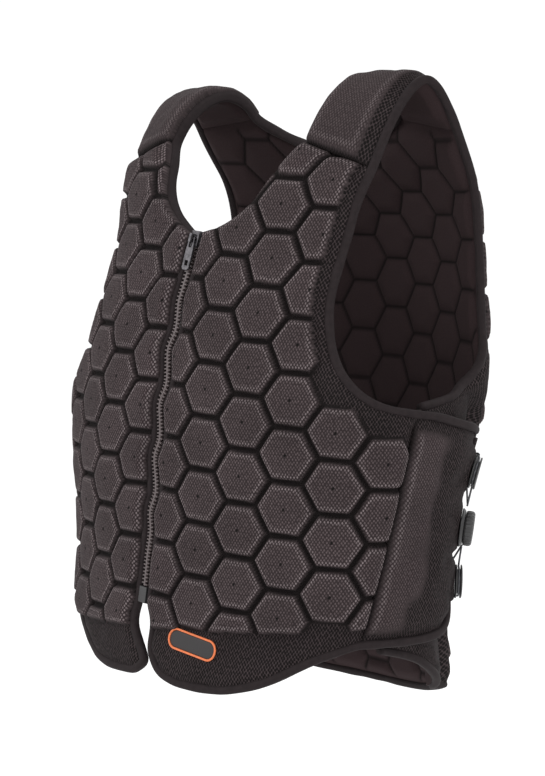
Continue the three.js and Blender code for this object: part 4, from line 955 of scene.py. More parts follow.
def edge_fields(u, v, edges):
    """Reach in from the edge of the tiles, pinch at the edges, and the neck's roll from 0 to 1."""
    reach, pinch, roll = [], [], []
    for line, inset, tile_inset, drop in edges:
        gap = line_distance(u, v, line)[0]
        reach.append(gap - tile_inset)
        pinch.append(drop * (1 - smoothstep(0, PINCH_WIDTH, gap - inset)))
        roll.append((drop == NECK_PINCH) * (1 - smoothstep(*ROLL_FALL, gap - inset)))
    return np.minimum.reduce(reach), np.maximum.reduce(pinch), np.maximum.reduce(roll)


def large_tiles(cell, on_tile, step):
    """True where the tile keeps enough of its area inside the panel to be raised."""
    numbers = np.unique(cell, return_inverse=True)[1].reshape(cell.shape)
    areas = np.bincount(numbers.ravel(), weights=on_tile.ravel()) * step * step
    return areas[numbers] > SMALLEST_TILE


def tile_lift(u, v, cell, off_u, off_v):
    """Uneven top of a tile: a crown, a slight tilt and height of its own, soft noise and a pinned middle."""
    share_out = np.minimum(np.hypot(off_u / CROWN_RADII[0], off_v / CROWN_RADII[1]), 1)
    crown = bpy.context.scene.vest_quilt.crown / MM * (1 - share_out ** 2)
    tilt = TILE_TILT * ((cell_random(cell, 1) - 0.5) * off_u + (cell_random(cell, 2) - 0.5) * off_v)
    own = TILE_SPREAD * (cell_random(cell, 3) - 0.5) + TILE_WAVES * soft_noise(u, v, 14, 5)
    return crown + tilt + own - PIN_DEPTH * np.exp(-(np.hypot(off_u, off_v) / PIN_RADIUS) ** 2)


def tile_shade(rise, past_shoulder, from_middle, plain):
    """Shade of the outer face: tile, a painted highlight along its rim, the dot at its middle, and the sewn
    groove, dark partly as painted shade.
    """
    tile = smoothstep(0.5, 0.85, rise)
    # Painted highlight along the tile's rim, just past its rounded shoulder
    painted_rim_highlight = np.exp(-((past_shoulder - 0.4) / 1.4) ** 2)
    pin = np.clip(1 - from_middle / PIN_REACH, 0, 1) * tile
    # Groove mask: the groove colour, partly painted shade, goes where the tile falls away
    groove = (1 - smoothstep(0.25, 0.8, rise)) * (1 - plain)
    return np.stack([tile, painted_rim_highlight, pin, groove], -1)


def lining(border, rim, wing):
    """Depth and shade of the lining: it swells inside each hexagon and is sewn down along the borders."""
    swell = (1 - (1 - np.clip(border / SWELL_WIDTH, 0, 1)) ** 2) * smoothstep(3, 15, rim) * (1 - wing)
    base = lerp(lerp(RIM_INNER, INNER_SEAM, smoothstep(0, PINCH_WIDTH, rim)), WING_INNER, wing)
    shade = np.zeros(border.shape + (4,))
    shade[..., 3] = np.exp(-(border / SEAM_HALF) ** 2) * (1 - wing) * smoothstep(3, 8, rim)
    return base - bpy.context.scene.vest_quilt.lining_swell / MM * swell, shade


def quilted_panel(name, sheet, edges, lattice, tile_limit, step, sink, plump):
    """Panel with raised hexagonal tiles outside and a swelling lining inside.

    Outside depth: the groove floor, pinched at the edges, plus the plump of the foam and each tile's rise.
    Inside depth: the seam depth plus a swell that grows from each hexagon's border to its middle.
    """
    sizes = bpy.context.scene.vest_quilt
    floor, shoulder = sizes.groove_floor / MM, sizes.shoulder / MM
    outline = inset_outline([(line, inset) for line, inset, _, _ in edges])
    u, v, rim, keep = cut_grid(outline, step)
    border, cell, off_u, off_v = hexagon_cells(u, v, lattice, sizes)
    to_edge, pinch, roll = edge_fields(u, v, edges)
    reach = np.minimum(to_edge, tile_limit(u, v))
    depth_in = np.minimum(border, reach + floor + shoulder)
    raised = large_tiles(cell, depth_in > floor + shoulder, step)
    depth_in = np.where(raised, depth_in, np.minimum(depth_in, 0))
    rise = 1 - (1 - np.clip((depth_in - floor) / shoulder, 0, 1)) ** TILE_ROUNDING
    height = rise * (sizes.tile_height / MM + tile_lift(u, v, cell, off_u, off_v))
    height = np.maximum(height, NECK_ROLL * roll)
    plain = np.where(raised, smoothstep(-0.5, -4, reach), 1)
    band = smoothstep(*BAND_RISE, reach) * (BAND_HEIGHT + BAND_UNEVEN * soft_noise(u, v, 24, 9))
    sunk = sink(u, v)
    wing = smoothstep(0.5, 6, sunk)
    fullness = plump(u, v) * smoothstep(1, 12, rim) * (1 - wing)
    inside_depth, inside_shade = lining(border, rim, wing)
    outer = sheet.at(u, v, GROOVE - pinch + height + band + fullness - sunk)
    inner = sheet.at(u, v, inside_depth - sunk)
    shade = tile_shade(rise, depth_in - floor - shoulder, np.hypot(off_u, off_v), plain)
    return shell(
        name, outer, inner, keep, sheet.turn, np.stack([u, v], -1), (shade, inside_shade), PANEL_MATERIALS)


def no_sink(u, v):
    return np.zeros(u.shape)


def front_tile_limit(side):
    """Reach above the lowest tiles' edge, which slopes across the fronts."""
    return lambda u, v: v - TILE_FLOOR - FLOOR_SLOPE * (side * u - FLOOR_PIVOT)


def front_plump(name):
    """A front's plumpness, which grows from the zip towards the side and from the waist up."""
    return lambda u, v: FRONT_PLUMP[name] * smoothstep(*PLUMP_ARCS, u) * smoothstep(*PLUMP_FOOT, v)


def back_tile_limit(u, v):
    """Reach inside the area of the back's tiles, which widens above the flaps."""
    half = BACK_TILE_HALF + BACK_TILE_WIDENING * smoothstep(*WIDENING_RISE, v)
    return np.minimum(v - BACK_TILE_FLOOR, half - np.abs(u))


def back_plump(u, v):
    """The back's plumpness beside its tiles, left out of the heights where the lacing sits on it."""
    low, high = LACING_SPAN
    beside = smoothstep(BACK_TILE_HALF - BACK_PLUMP_WIDTH, BACK_TILE_HALF, np.abs(u))
    laced = smoothstep(low - LACING_FADE, low, v) * (1 - smoothstep(high, high + LACING_FADE, v))
    return lerp(*BACK_PLUMP, smoothstep(*BACK_PLUMP_RISE, v)) * beside * (1 - laced)


class VEST_OT_fronts(bpy.types.Operator):
    """Two quilted front panels that meet at the zip"""

    bl_idname = "vest.fronts"
    bl_label = "Front panels"

    def execute(self, context):
        step = context.scene.vest_quilt.front_step / MM
        for name, side in SIDES.items():
            obj = quilted_panel(
                "front_" + name, front_sheet(side), front_edges(name), LATTICES[name],
                front_tile_limit(side), step, no_sink, front_plump(name))
            place(obj, ["front_panel_" + name])
        return {"FINISHED"}


class VEST_OT_back(bpy.types.Operator):
    """Quilted back panel with thin wings that run under the flaps"""

    bl_idname = "vest.back"
    bl_label = "Back panel"

    def execute(self, context):
        step = context.scene.vest_quilt.back_step / MM
        obj = quilted_panel(
            "back", BACK_SHEET, back_edges(), LATTICES["back"],
            back_tile_limit, step, wing_sink, back_plump)
        place(obj, ["back_panel"])
        return {"FINISHED"}


def flap_folds(u, v):
    """Sum of soft dents: each falls off across its line and fades out along it."""
    total = np.zeros(u.shape)
    for arc, z, lean, half_length, half_width, depth in FLAP_FOLDS:
        cos, sin = math.cos(math.radians(lean)), math.sin(math.radians(lean))
        along = (u - arc) * cos + (v - z) * sin
        across = -(u - arc) * sin + (v - z) * cos + FOLD_SWAY * np.sin(along / FOLD_BEND)
        total -= depth * np.exp(-(across / half_width) ** 2 - (along / half_length) ** 4)
    return total


def lacing_pads(u, v):
    """One under the dial and the flap's lace guides, falling to nothing a little way beyond their rims."""
    dial = np.hypot(u - DIAL_ARC, v - DIAL_Z) - DIAL_BASE_RADIUS
    guides = np.hypot(u - FLAP_GUIDE_ARC, np.abs(v - DIAL_Z) - GUIDE_OFFSET) - GUIDE_RADIUS
    return 1 - smoothstep(0, 7, np.minimum(dial, guides))


def flap_shade(u, v, rise, from_seam):
    """Shade of a flap: pale like a tile near its seam, with a painted highlight beside the groove at the
    seam, which is dark partly as painted shade.
    """
    front_tile = rise * (1 - smoothstep(30, 46, from_seam + 8 * soft_noise(u, v, 40, 4)))
    # Groove along the seam: dark partly as painted shade
    groove = 0.9 * (1 - smoothstep(0.5, 4, from_seam))
    # Painted highlight along the rim of the flap's block beside the seam
    painted_rim_highlight = 0.9 * rise * np.exp(-((from_seam - 7) / 2.2) ** 2)
    return np.stack([np.maximum(0.92 * front_tile, painted_rim_highlight), painted_rim_highlight, np.zeros(u.shape), groove], -1)


def side_flap(name, sheet, step):
    """Flap with a raised soft block inside a flat band, dented by folds, thin at its bound edges.

    Outside depth: the groove floor, plus the block's rounded rise or the lacing's seats, the folds
    and a pinch at the rim.
    """
    rear = [FLAP_BOTTOM[-1], FLAP_TOP[-1]]
    bound = [smooth_edge(edge, OUTLINE_STEP) for edge in (FLAP_BOTTOM, rear, FLAP_TOP[::-1])]
    seam = smooth_edge(FLAP_SEAM[::-1], OUTLINE_STEP)
    outline = inset_outline([(line, UNDER_BINDING) for line in bound] + [(seam, SEAM_INSET)])
    u, v, rim, keep = cut_grid(outline, step)
    from_seam = line_distance(u, v, seam)[0]
    to_block = [line_distance(u, v, line)[0] - band for line, band in zip(bound, FLAP_BANDS)]
    block = np.minimum.reduce([*to_block, from_seam - FLAP_SEAM_BAND])
    rise = 1 - (1 - np.clip((block + 3) / 12, 0, 1)) ** 2
    seat = lacing_pads(u, v)
    folds = flap_folds(u, v) * smoothstep(0, 14, rim) + 0.5 * soft_noise(u, v, 26, 21) * rise
    pinch = FLAP_PINCH * (1 - smoothstep(0, 8, rim))
    outer = GROOVE + lerp(FLAP_BLOCK * rise, LACING_SEAT_HEIGHT, seat) + (folds - pinch) * (1 - seat)
    inner = FLAP_INNER - FLAP_INNER_DROP * smoothstep(0, 8, rim)
    sink = flap_sink(u)
    shade = flap_shade(u, v, rise, from_seam)
    return shell(
        name, sheet.at(u, v, outer - sink), sheet.at(u, v, inner - sink), keep, sheet.turn,
        np.stack([u, v], -1), (shade, np.zeros(shade.shape)), PANEL_MATERIALS)


class VEST_OT_flaps(bpy.types.Operator):
    """Plain padded side flaps that overlap the back's wings"""

    bl_idname = "vest.flaps"
    bl_label = "Side flaps"

    def execute(self, context):
        step = context.scene.vest_quilt.front_step / MM
        for name, side in SIDES.items():
            obj = side_flap("flap_" + name, front_sheet(side), step)
            place(obj, ["side_flap_" + name])
        return {"FINISHED"}


def pad_width(name, along):
    """Distance from a pad's neck edge to its arm edge at shares of its length."""
    return np.linalg.norm(pad_point(name, 0.0, along) - pad_point(name, 1.0, along), axis=-1)


def pad_outer(name, along, to_neck, to_arm, to_seam, rise):
    """Outer depth of a pad: the groove floor, pinched at edges and seams, plus the rise of its crown."""
    arm_pinch = BOUND_PINCH * (1 - smoothstep(0, 8, to_arm))
    neck_pinch = NECK_PINCH * (1 - smoothstep(0, 5, to_neck))
    roll = PAD_REAR_ROLL * smoothstep(0.4, 0.6, along) * (1 - smoothstep(0, 22, to_neck))
    sewn = PAD_SEAM_DROP * (1 - smoothstep(0, 5, to_seam))
    from_rim = smoothstep(0, 16, np.minimum(to_neck, to_arm))
    plump = PAD_PLUMP[name] * from_rim * (1 - smoothstep(0.3, 0.5, along))
    return GROOVE - np.maximum(arm_pinch, neck_pinch) - roll - sewn + PAD_BLOCK * rise + plump


def pad_shade(rise, block, to_seam):
    """Shade of a pad: pale like a tile, with a painted highlight along its crown's rim, and dark along its
    seams partly as painted shade.
    """
    tile = 0.8 * smoothstep(0.55, 0.95, rise)
    # Painted highlight along the rim of the pad's crown
    painted_rim_highlight = 0.6 * np.exp(-((block - 7) / 2.0) ** 2)
    # Dark along the seams, partly as painted shade
    groove = 0.9 * (1 - smoothstep(0, 4, to_seam))
    return np.stack([tile, painted_rim_highlight, np.zeros(rise.shape), groove], -1)


def shoulder_pad(name):
    """Arched pad: a full crown between the neck edge and a flat band beside the arm, round at both seams.

    Inside depth: the rim's depth, deeper inside it, plus a swell away from the edges and seams.
    """
    shares = np.linspace(0, 1, PAD_COLUMNS), np.linspace(*PAD_ENDS, PAD_ROWS)
    across, along = np.meshgrid(*shares, indexing="ij")
    width = pad_width(name, along)
    u = lerp(NECK_INSET / width, 1 - UNDER_BINDING / width, across)
    to_neck, to_arm = u * width - NECK_INSET, (1 - u) * width - UNDER_BINDING
    to_seam = np.minimum(along, 1 - along) * PAD_LENGTH
    block = np.minimum(np.minimum(to_neck + 1, to_arm - PAD_ARM_BAND), to_seam - 2)
    rise = 1 - (1 - np.clip((block + 4) / 11, 0, 1)) ** 2.2
    uv = np.stack([u * width, along * PAD_LENGTH], -1)
    outer = pad_outer(name, along, to_neck, to_arm, to_seam, rise)
    outer = outer + 0.3 * soft_noise(uv[..., 0], uv[..., 1], 22, 31) * rise
    rim = np.minimum(to_neck, to_arm)
    swell = smoothstep(2, 16, rim) * smoothstep(0, 14, to_seam)
    inner = lerp(RIM_INNER, PAD_INNER, smoothstep(0, 8, rim)) - PAD_SWELL * swell
    shade = pad_shade(rise, block, to_seam)
    sheet = pad_sheet(name)
    keep = np.ones((PAD_COLUMNS - 1, PAD_ROWS - 1), bool)
    return shell(
        "shoulder_" + name, sheet.at(u, along, outer), sheet.at(u, along, inner), keep, sheet.turn, uv,
        (shade, np.zeros(shade.shape)), PANEL_MATERIALS)


class VEST_OT_shoulders(bpy.types.Operator):
    """Plain arched shoulder pads"""

    bl_idname = "vest.shoulders"
    bl_label = "Shoulder pads"

    def execute(self, context):
        for name in SIDES:
            place(shoulder_pad(name), ["shoulder_pad_" + name])
        return {"FINISHED"}


# Bindings


def front_strip_depth(points):
    """Depth of a binding's middle along a front, easing to the flap's own depth past the seam."""
    on_flap = smoothstep(*FLAP_EASE, points[:, 0] - seam_arc(points[:, 1]))
    return lerp(RIM_MIDDLE, FLAP_MIDDLE, on_flap) - flap_sink(points[:, 0])


def back_strip_depth(points):
    return RIM_MIDDLE - wing_sink(points[:, 0], points[:, 1])


def facing_depth(points):
    return np.full(len(points), FACING_MIDDLE)


def edge_stations(sheet, line, depth, width, scale=1):
    """Middle, way out and normal of a strip along an edge that has its panel on the left, or right at -1."""
    before, after = np.vstack([line[:1], line[:-1]]), np.vstack([line[1:], line[-1:]])
    half = width / MM / 2
    middle = line + left_normal(before, after) * half * scale
    level = depth(middle)
    position = sheet.at(middle[:, 0], middle[:, 1], level)
    outward = sheet.at(line[:, 0], line[:, 1], level) - position
    return position, unit(outward), sheet.normal(middle[:, 0], middle[:, 1])


def pad_stations(name, rail, steps, depth, width):
    """The same along a pad's neck edge, rail 0, or its arm edge, rail 1."""
    sheet = pad_sheet(name)
    half = width / MM / 2 / pad_width(name, steps)
    across = 1 - half if rail else half
    position = sheet.at(across, steps, depth)
    outward = sheet.at(np.full(steps.shape, float(rail)), steps, depth) - position
    return position, unit(outward), sheet.normal(across, steps)


def joined_stations(groups):
    return [np.vstack([group[k] for group in groups]) for k in range(3)]


def smoothed(rows, passes=3):
    """Each row averaged with its neighbours, ends kept."""
    for _ in range(passes):
        rows = np.vstack([rows[:1], (rows[:-2] + 2 * rows[1:-1] + rows[2:]) / 4, rows[-1:]])
    return rows


def binding(name, stations, nodes, width, thickness):
    """Rolled strip: a rounded section carried along the edge, puckered a little by its stitching."""
    half_width, half_thickness = width / MM / 2 + ROLL_OVERLAP, thickness / MM / 2
    angles = full_turn(16)
    cos, sin = np.cos(angles), np.sin(angles)
    profile = np.stack([
        np.sign(cos) * np.abs(cos) ** 0.8 * half_width,
        np.sign(sin) * np.abs(sin) ** 0.8 * half_thickness,
    ], -1)
    position, outward, normal = (smoothed(rows) for rows in stations)
    runs = run_lengths(position)
    pucker = 1 + 0.05 * soft_noise(runs, 0 * runs, 30, 17)
    points, faces = carry(profile, position, unit(outward) * pucker[:, None], unit(normal) * pucker[:, None])
    around = np.arange(len(angles)) * 1.6
    uv = np.stack(np.meshgrid(runs, around, indexing="ij"), -1).reshape(-1, 2)
    obj = make_object(name, points, faces, ["stretch binding"], uv=uv)
    return place(obj, nodes)


def armhole_stations(name, side, width):
    """Stations up the flap's top and the front's armhole, over the pad and down the back's armhole."""
    front = chain([smooth_edge(FLAP_TOP, BINDING_STEP)[::-1], smooth_edge(ARMHOLE_FRONT, BINDING_STEP)])
    rear = smooth_edge(ARMHOLE_BACK, BINDING_STEP)[::-1] * np.array([side, 1])
    return joined_stations([
        [rows[:-1] for rows in edge_stations(front_sheet(side), front, front_strip_depth, width)],
        pad_stations(name, 1, PAD_STEPS, RIM_MIDDLE, width),
        [rows[1:] for rows in edge_stations(BACK_SHEET, rear, back_strip_depth, width, -side)],
    ])


def front_line(name):
    """Finished edge of a front from the zip's top round the vent and hem to the flap's upper rear corner."""
    corner = (FLAP_REAR, FLAP_TOP[-1][1] - EDGE_END_DROP)
    edges = [
        zip_edge(name, ZIP_TOP - EDGE_START_DROP), VENT_EDGES[name], front_hem(name), FLAP_BOTTOM,
        [FLAP_BOTTOM[-1], corner],
    ]
    return chain([smooth_edge(edge, BINDING_STEP) for edge in edges])


def neck_stations(width):
    """Stations up the right front's neck, over its pad, across the back and down the left side likewise."""
    across = np.vstack([
        smooth_edge(NECK_BACK["right"], BINDING_STEP) * MIRROR,
        smooth_edge(NECK_BACK["left"], BINDING_STEP)[-2::-1]])
    fronts = {}
    for name, side in SIDES.items():
        line = smooth_edge(neck_front(name), BINDING_STEP)
        fronts[name] = edge_stations(front_sheet(side), line, facing_depth, width)
    return joined_stations([
        [rows[::-1][:-1] for rows in fronts["right"]],
        pad_stations("right", 0, PAD_STEPS, FACING_MIDDLE, width),
        [rows[1:-1] for rows in edge_stations(BACK_SHEET, across, facing_depth, width, -1)],
        pad_stations("left", 0, PAD_STEPS[::-1], FACING_MIDDLE, width),
        [rows[1:] for rows in fronts["left"]],
    ])


class VEST_OT_bindings(bpy.types.Operator):
    """Rolled bindings along the neck, armholes, fronts and back hem"""

    bl_idname = "vest.bindings"
    bl_label = "Bindings"

    def execute(self, context):
        trim = context.scene.vest_trim
        rolled = (trim.binding_width, trim.binding_thickness)
        for name, side in SIDES.items():
            binding("armhole_edge_" + name, armhole_stations(name, side, trim.binding_width),
                    ["armhole_binding_" + name], *rolled)
            line = front_line(name)
            stations = edge_stations(front_sheet(side), line, front_strip_depth, trim.binding_width)
            binding("front_edge_" + name, stations, ["front_edge_binding_" + name], *rolled)
        stations = neck_stations(trim.facing_width)
        binding("neck_edge", stations, ["neck_binding"], trim.facing_width, trim.facing_depth)
        hem = smooth_edge(BACK_HEM, BINDING_STEP)
        line = np.vstack([hem[:0:-1] * MIRROR, hem])
        stations = edge_stations(BACK_SHEET, line, back_strip_depth, trim.binding_width)
        binding("back_hem_edge", stations, ["back_hem_binding"], *rolled)
        return {"FINISHED"}


# Places on the body


def surface_axes(up, out):
    """Axes right, up and out, squared up from a rough way up."""
    right = unit(np.cross(up, out))
    return np.stack([right, np.cross(out, right), out], -2)


def zip_frames(z):
    """Origins and axes of the teeth at heights along the zip."""
    sheet = front_sheet(1)
    up = sheet.point(zip_arc(z + 1), z + 1) - sheet.point(zip_arc(z - 1), z - 1)
    return sheet.point(zip_arc(z), z)[:, None], surface_axes(up, sheet.normal(zip_arc(z), z))


def body_frame(arc, z, depth, side):
    """Origin and axes of a part set on the body: right, up along the surface, and out."""
    sheet = front_sheet(side)
    up = sheet.point(arc, z + 1) - sheet.point(arc, z - 1)
    return sheet.at(arc, z, depth), surface_axes(up, sheet.normal(arc, z))


def to_body(place_at, local):
    """Local points moved to a place on the body."""
    origin, axes = place_at
    return origin + np.asarray(local, float) @ axes


# Zip


def tooth_block():
    """Points of one tooth with a wider head: its plan at the foot and below the bevel, and shrunk on top."""
    head_end, neck_start = TOOTH_SLOPE
    head = [(TOOTH_TIP, TOOTH_HEAD), (head_end, TOOTH_HEAD)]
    half = [*head, (neck_start, TOOTH_NECK), (TOOTH_ROOT, TOOTH_NECK)]
    plan = np.array([(x, -y) for x, y in half] + half[::-1])
    middle = np.array([(TOOTH_TIP + TOOTH_ROOT) / 2, 0])
    top = (plan - middle) * TOOTH_SHRINK + middle
    low, high = CHAIN_DEPTHS
    return np.vstack([flat(plan, low), flat(plan, high - TOOTH_BEVEL), flat(top, high)])


def zip_teeth(pitch):
    """Interlocked teeth: one tooth repeated along both sides of the zip, half a pitch apart."""
    block = tooth_block()
    index = np.arange(len(block)).reshape(3, -1)
    faces = tube_faces(index) + end_faces(index)
    heights = np.arange(ZIP_BOTTOM + BOX_LENGTH + 1, ZIP_TOP - 3, pitch)
    parts = []
    for side, offset in ((1, 0.0), (-1, pitch / 2)):
        teeth = to_body(zip_frames(heights + offset), block * np.array([side, side, 1]))
        parts += [(tooth, faces) for tooth in teeth]
    return merged(parts)


def zip_tape(name, side):
    """Woven tape strip beside the teeth, closed, with fine ribs along it as a cosine of the arc."""
    arcs = np.linspace(TAPE_START, TAPE_HALF, 9) * side
    heights = np.linspace(ZIP_BOTTOM + BOX_LENGTH, ZIP_TOP - 2, 160)
    u, v = np.meshgrid(arcs, heights, indexing="ij")
    arc = u + zip_arc(v)
    ribs = 0.12 * np.cos(np.abs(u) * 2 * np.pi / 1.2)
    sheet = front_sheet(1)
    outer, inner = sheet.at(arc, v, TAPE_DEPTHS[1] + ribs), sheet.at(arc, v, TAPE_DEPTHS[0])
    keep = np.ones((len(arcs) - 1, len(heights) - 1), bool)
    bare = np.zeros(u.shape + (4,))
    return shell(
        "tape_" + name, outer, inner, keep, side, np.stack([u, v], -1), (bare, bare), ("woven zip tape",) * 2)


class VEST_OT_zip(bpy.types.Operator):
    """Front zip: teeth, tapes, slider, pull and end box"""

    bl_idname = "vest.zip"
    bl_label = "Front zip"

    def execute(self, context):
        points, faces = zip_teeth(context.scene.vest_trim.tooth_pitch / MM)
        teeth = make_object("zip_teeth", points, faces, ["moulded acetal"], smooth=False)
        place(teeth, ["zip_chain"])
        for name, side in SIDES.items():
            place(zip_tape(name, side), ["zip_tape_" + name])
        place(softened_copy("zip_slider", "plated zinc"), ["zip_slider"])
        place(softened_copy("zip_pull", "plated zinc"), ["zip_pull"], body="pull")
        place(softened_copy("zip_box", "moulded nylon"), ["zip_box"])
        return {"FINISHED"}


# Lacing


def lacing_seat(arc):
    """Depth of the lacing's seat: on the flap before its rear edge, on the wing behind it."""
    return -flap_sink(arc) if arc < FLAP_REAR else GROOVE


def revolved(profile, start, end, steps, ripple=None):
    """Radius and height profile turned about Z from one angle to another, with flat ends unless it closes."""
    full = abs(end - start) > 2 * math.pi - 1e-6
    angles = np.linspace(start, end, steps, endpoint=not full)
    profile = np.asarray(profile, float)
    radius = np.repeat(profile[None, :, 0], len(angles), 0)
    if ripple is not None:
        radius = radius + ripple(angles[:, None], profile[None, :, 0], profile[None, :, 1])
    points = np.stack([
        radius * np.cos(angles)[:, None], radius * np.sin(angles)[:, None],
        np.repeat(profile[None, :, 1], len(angles), 0)], -1)
    index = np.arange(points.shape[0] * points.shape[1]).reshape(points.shape[:2])
    if full:
        faces = tube_faces(index.T) + end_faces(index.T)
    else:
        faces = [face[::-1] for face in tube_faces(index) + end_faces(index)]
    return points.reshape(-1, 3), faces


def lace_guide(direction):
    """Half-moon guide: two plates with rounded rims and a core between them, turned through half a circle."""
    r, core, plate, top = GUIDE_RADIUS, GUIDE_CORE, GUIDE_PLATE, 2 * GUIDE_PLATE + GUIDE_SLOT
    profile = [
        (0.02, 0), (r - 0.5, 0), (r, 0.5), (r, plate - 0.4), (r - 0.4, plate), (core, plate),
        (core, top - plate), (r - 0.4, top - plate), (r, top - plate + 0.4), (r, top - 0.5),
        (r - 0.6, top), (r - 4, top + 0.01), (0.02, top),
    ]
    turn = 0 if direction > 0 else math.pi
    return revolved(profile, turn - math.pi / 2, turn + math.pi / 2, 25)


def knob_flutes(angle, radius, height):
    """Shallow flutes round a knob's grip: the upper halves of a cosine, cut into the rim only."""
    on_grip = (radius > KNOB_RADIUS - 1.4) * (height > 0.2)
    return -FLUTE_DEPTH * np.maximum(0, np.cos(FLUTES * angle)) * on_grip


def dial_knob():
    """Knob with a finger grip of shallow flutes, a rounded rim and a dished face, above its base."""
    r, h = KNOB_RADIUS, KNOB_HEIGHT
    profile = [
        (0.02, 0), (r - 1.6, 0), (r - 0.6, 0.5), (r - 0.1, 1.6), (r, 3), (r, h - 3.2), (r - 0.3, h - 1.8),
        (r - 1.2, h - 0.6), (r - 2.6, h - 0.1), (r - 4.2, h - 0.2), (r - 5.2, h - 0.7), (r - 9, h - 0.9),
        (0.02, h - 0.9),
    ]
    points, faces = revolved(profile, 0, 2 * math.pi, 192, knob_flutes)
    return points + np.array([0, 0, DIAL_BASE_HEIGHT + KNOB_GAP]), faces


def dial_base():
    """Round base flange with a sloping shoulder."""
    r, h = DIAL_BASE_RADIUS, DIAL_BASE_HEIGHT
    profile = [
        (0.02, 0), (r - 0.4, 0), (r, 0.4), (r, h * 0.4), (r - 0.5, h * 0.55), (r - 1.6, h - 0.2), (r - 2, h),
        (0.02, h),
    ]
    return revolved(profile, 0, 2 * math.pi, 72)


def centripetal(points, per_span):
    """Curve through points with knots at the square root of their distances, sampled evenly in each span."""
    points = np.asarray(points, float)
    ends = np.vstack([2 * points[0] - points[1], points, 2 * points[-1] - points[-2]])
    gaps = np.sqrt(np.linalg.norm(np.diff(ends, axis=0), axis=1))[:, None]
    x0, x1, x2, x3 = ends[:-3], ends[1:-2], ends[2:-1], ends[3:]
    g0, g1, g2 = gaps[:-2], gaps[1:-1], gaps[2:]
    t1 = ((x1 - x0) / g0 - (x2 - x0) / (g0 + g1) + (x2 - x1) / g1) * g1
    t2 = ((x2 - x1) / g1 - (x3 - x1) / (g1 + g2) + (x3 - x2) / g2) * g1
    w = np.linspace(0, 1, per_span, endpoint=False)[:, None, None]
    line = hermite(w, x1, t1, x2, t2)
    return np.vstack([np.swapaxes(line, 0, 1).reshape(-1, 3), points[-1:]])


def lace_route(side, up):
    """Route of a lace: out of the dial, round the flap guide, round the back guide, into the dial again."""
    height = DIAL_Z + up * GUIDE_OFFSET
    flap_at = body_frame(FLAP_GUIDE_ARC, height, lacing_seat(FLAP_GUIDE_ARC), side)
    back_at = body_frame(BACK_GUIDE_ARC, height, lacing_seat(BACK_GUIDE_ARC), side)
    dial_at = body_frame(DIAL_ARC, DIAL_Z, lacing_seat(DIAL_ARC), side)
    angle = np.pi * np.linspace(0, 1, 5)

    def half_turn(place_at, direction, start):
        x = direction * side * LACE_TURN * np.sin(angle)
        y = start * up * LACE_TURN * np.cos(angle)
        return to_body(place_at, np.stack([x, y, np.full(5, LACE_LIFT)], -1))

    port_height = up * (DIAL_BASE_RADIUS + LACE_PORT_GAP)
    ports = [to_body(dial_at, (side * x, port_height, LACE_LIFT)) for x in LACE_PORTS]
    lead = to_body(flap_at, (side * LACE_LEAD, -up * LACE_TURN, LACE_LIFT))
    route = [ports[0], lead, half_turn(flap_at, -1, -1), half_turn(back_at, 1, 1), ports[1]]
    return np.vstack(route), dial_at[1][2]


def lace(name, side, up):
    """Round cord: a circle carried along the lace's route."""
    route, out = lace_route(side, up)
    line = centripetal(route, 8)
    tangent = unit(np.gradient(line, axis=0))
    outward = unit(np.cross(tangent, out))
    angles = full_turn(10)
    profile = np.stack([np.cos(angles), np.sin(angles)], -1) * LACE_RADIUS
    points, faces = carry(profile, line, outward, np.cross(outward, tangent))
    uv = np.stack(np.meshgrid(run_lengths(line), angles * LACE_RADIUS, indexing="ij"), -1).reshape(-1, 2)
    return make_object(name, points, faces, ["braided lace"], uv=uv)


def set_moulding(name, shape, at, node, body=VEST):
    """Hard nylon part set at a place on the body."""
    points, faces = shape
    obj = make_object(name, to_body(at, points), faces, ["moulded nylon"], smooth=False)
    return place(obj, [node], body=body)


class VEST_OT_lacing(bpy.types.Operator):
    """Dials, lace guides and laces on both sides"""

    bl_idname = "vest.lacing"
    bl_label = "Lacing"

    def execute(self, context):
        for name, side in SIDES.items():
            dial_at = body_frame(DIAL_ARC, DIAL_Z, lacing_seat(DIAL_ARC) + GUIDE_SEAT, side)
            set_moulding("dial_flange_" + name, dial_base(), dial_at, "dial_base_" + name)
            set_moulding("dial_grip_" + name, dial_knob(), dial_at, "dial_knob_" + name, body="knob_" + name)
            for level, up in (("upper", 1), ("lower", -1)):
                spot = f"{name}_{level}"
                for part, arc, direction in (("flap", FLAP_GUIDE_ARC, -side), ("back", BACK_GUIDE_ARC, side)):
                    at = body_frame(arc, DIAL_Z + up * GUIDE_OFFSET, lacing_seat(arc) + GUIDE_SEAT, side)
                    set_moulding(f"{part}_moon_{spot}", lace_guide(direction), at, f"{part}_guide_{spot}")
                place(lace("cord_" + spot, side, up), ["lace_" + spot])
        return {"FINISHED"}


# Badge


def pill(length, height, count):
    """Outline of a pill, as equal steps of angle on its two round ends."""
    radius = height / 2
    angle = np.linspace(-np.pi / 2, np.pi / 2, count)
    end = np.stack([length / 2 - radius + radius * np.cos(angle), radius * np.sin(angle)], -1)
    return np.vstack([end, -end])


def badge_place():
    """Origin and axes of the badge, turned by its tilt in the face of the front."""
    origin, axes = body_frame(BADGE_ARC, BADGE_Z, GROOVE + BADGE_LIFT, 1)
    cos, sin = math.cos(math.radians(BADGE_TILT)), math.sin(math.radians(BADGE_TILT))
    return origin, np.array([[cos, sin, 0], [-sin, cos, 0], [0, 0, 1]]) @ axes


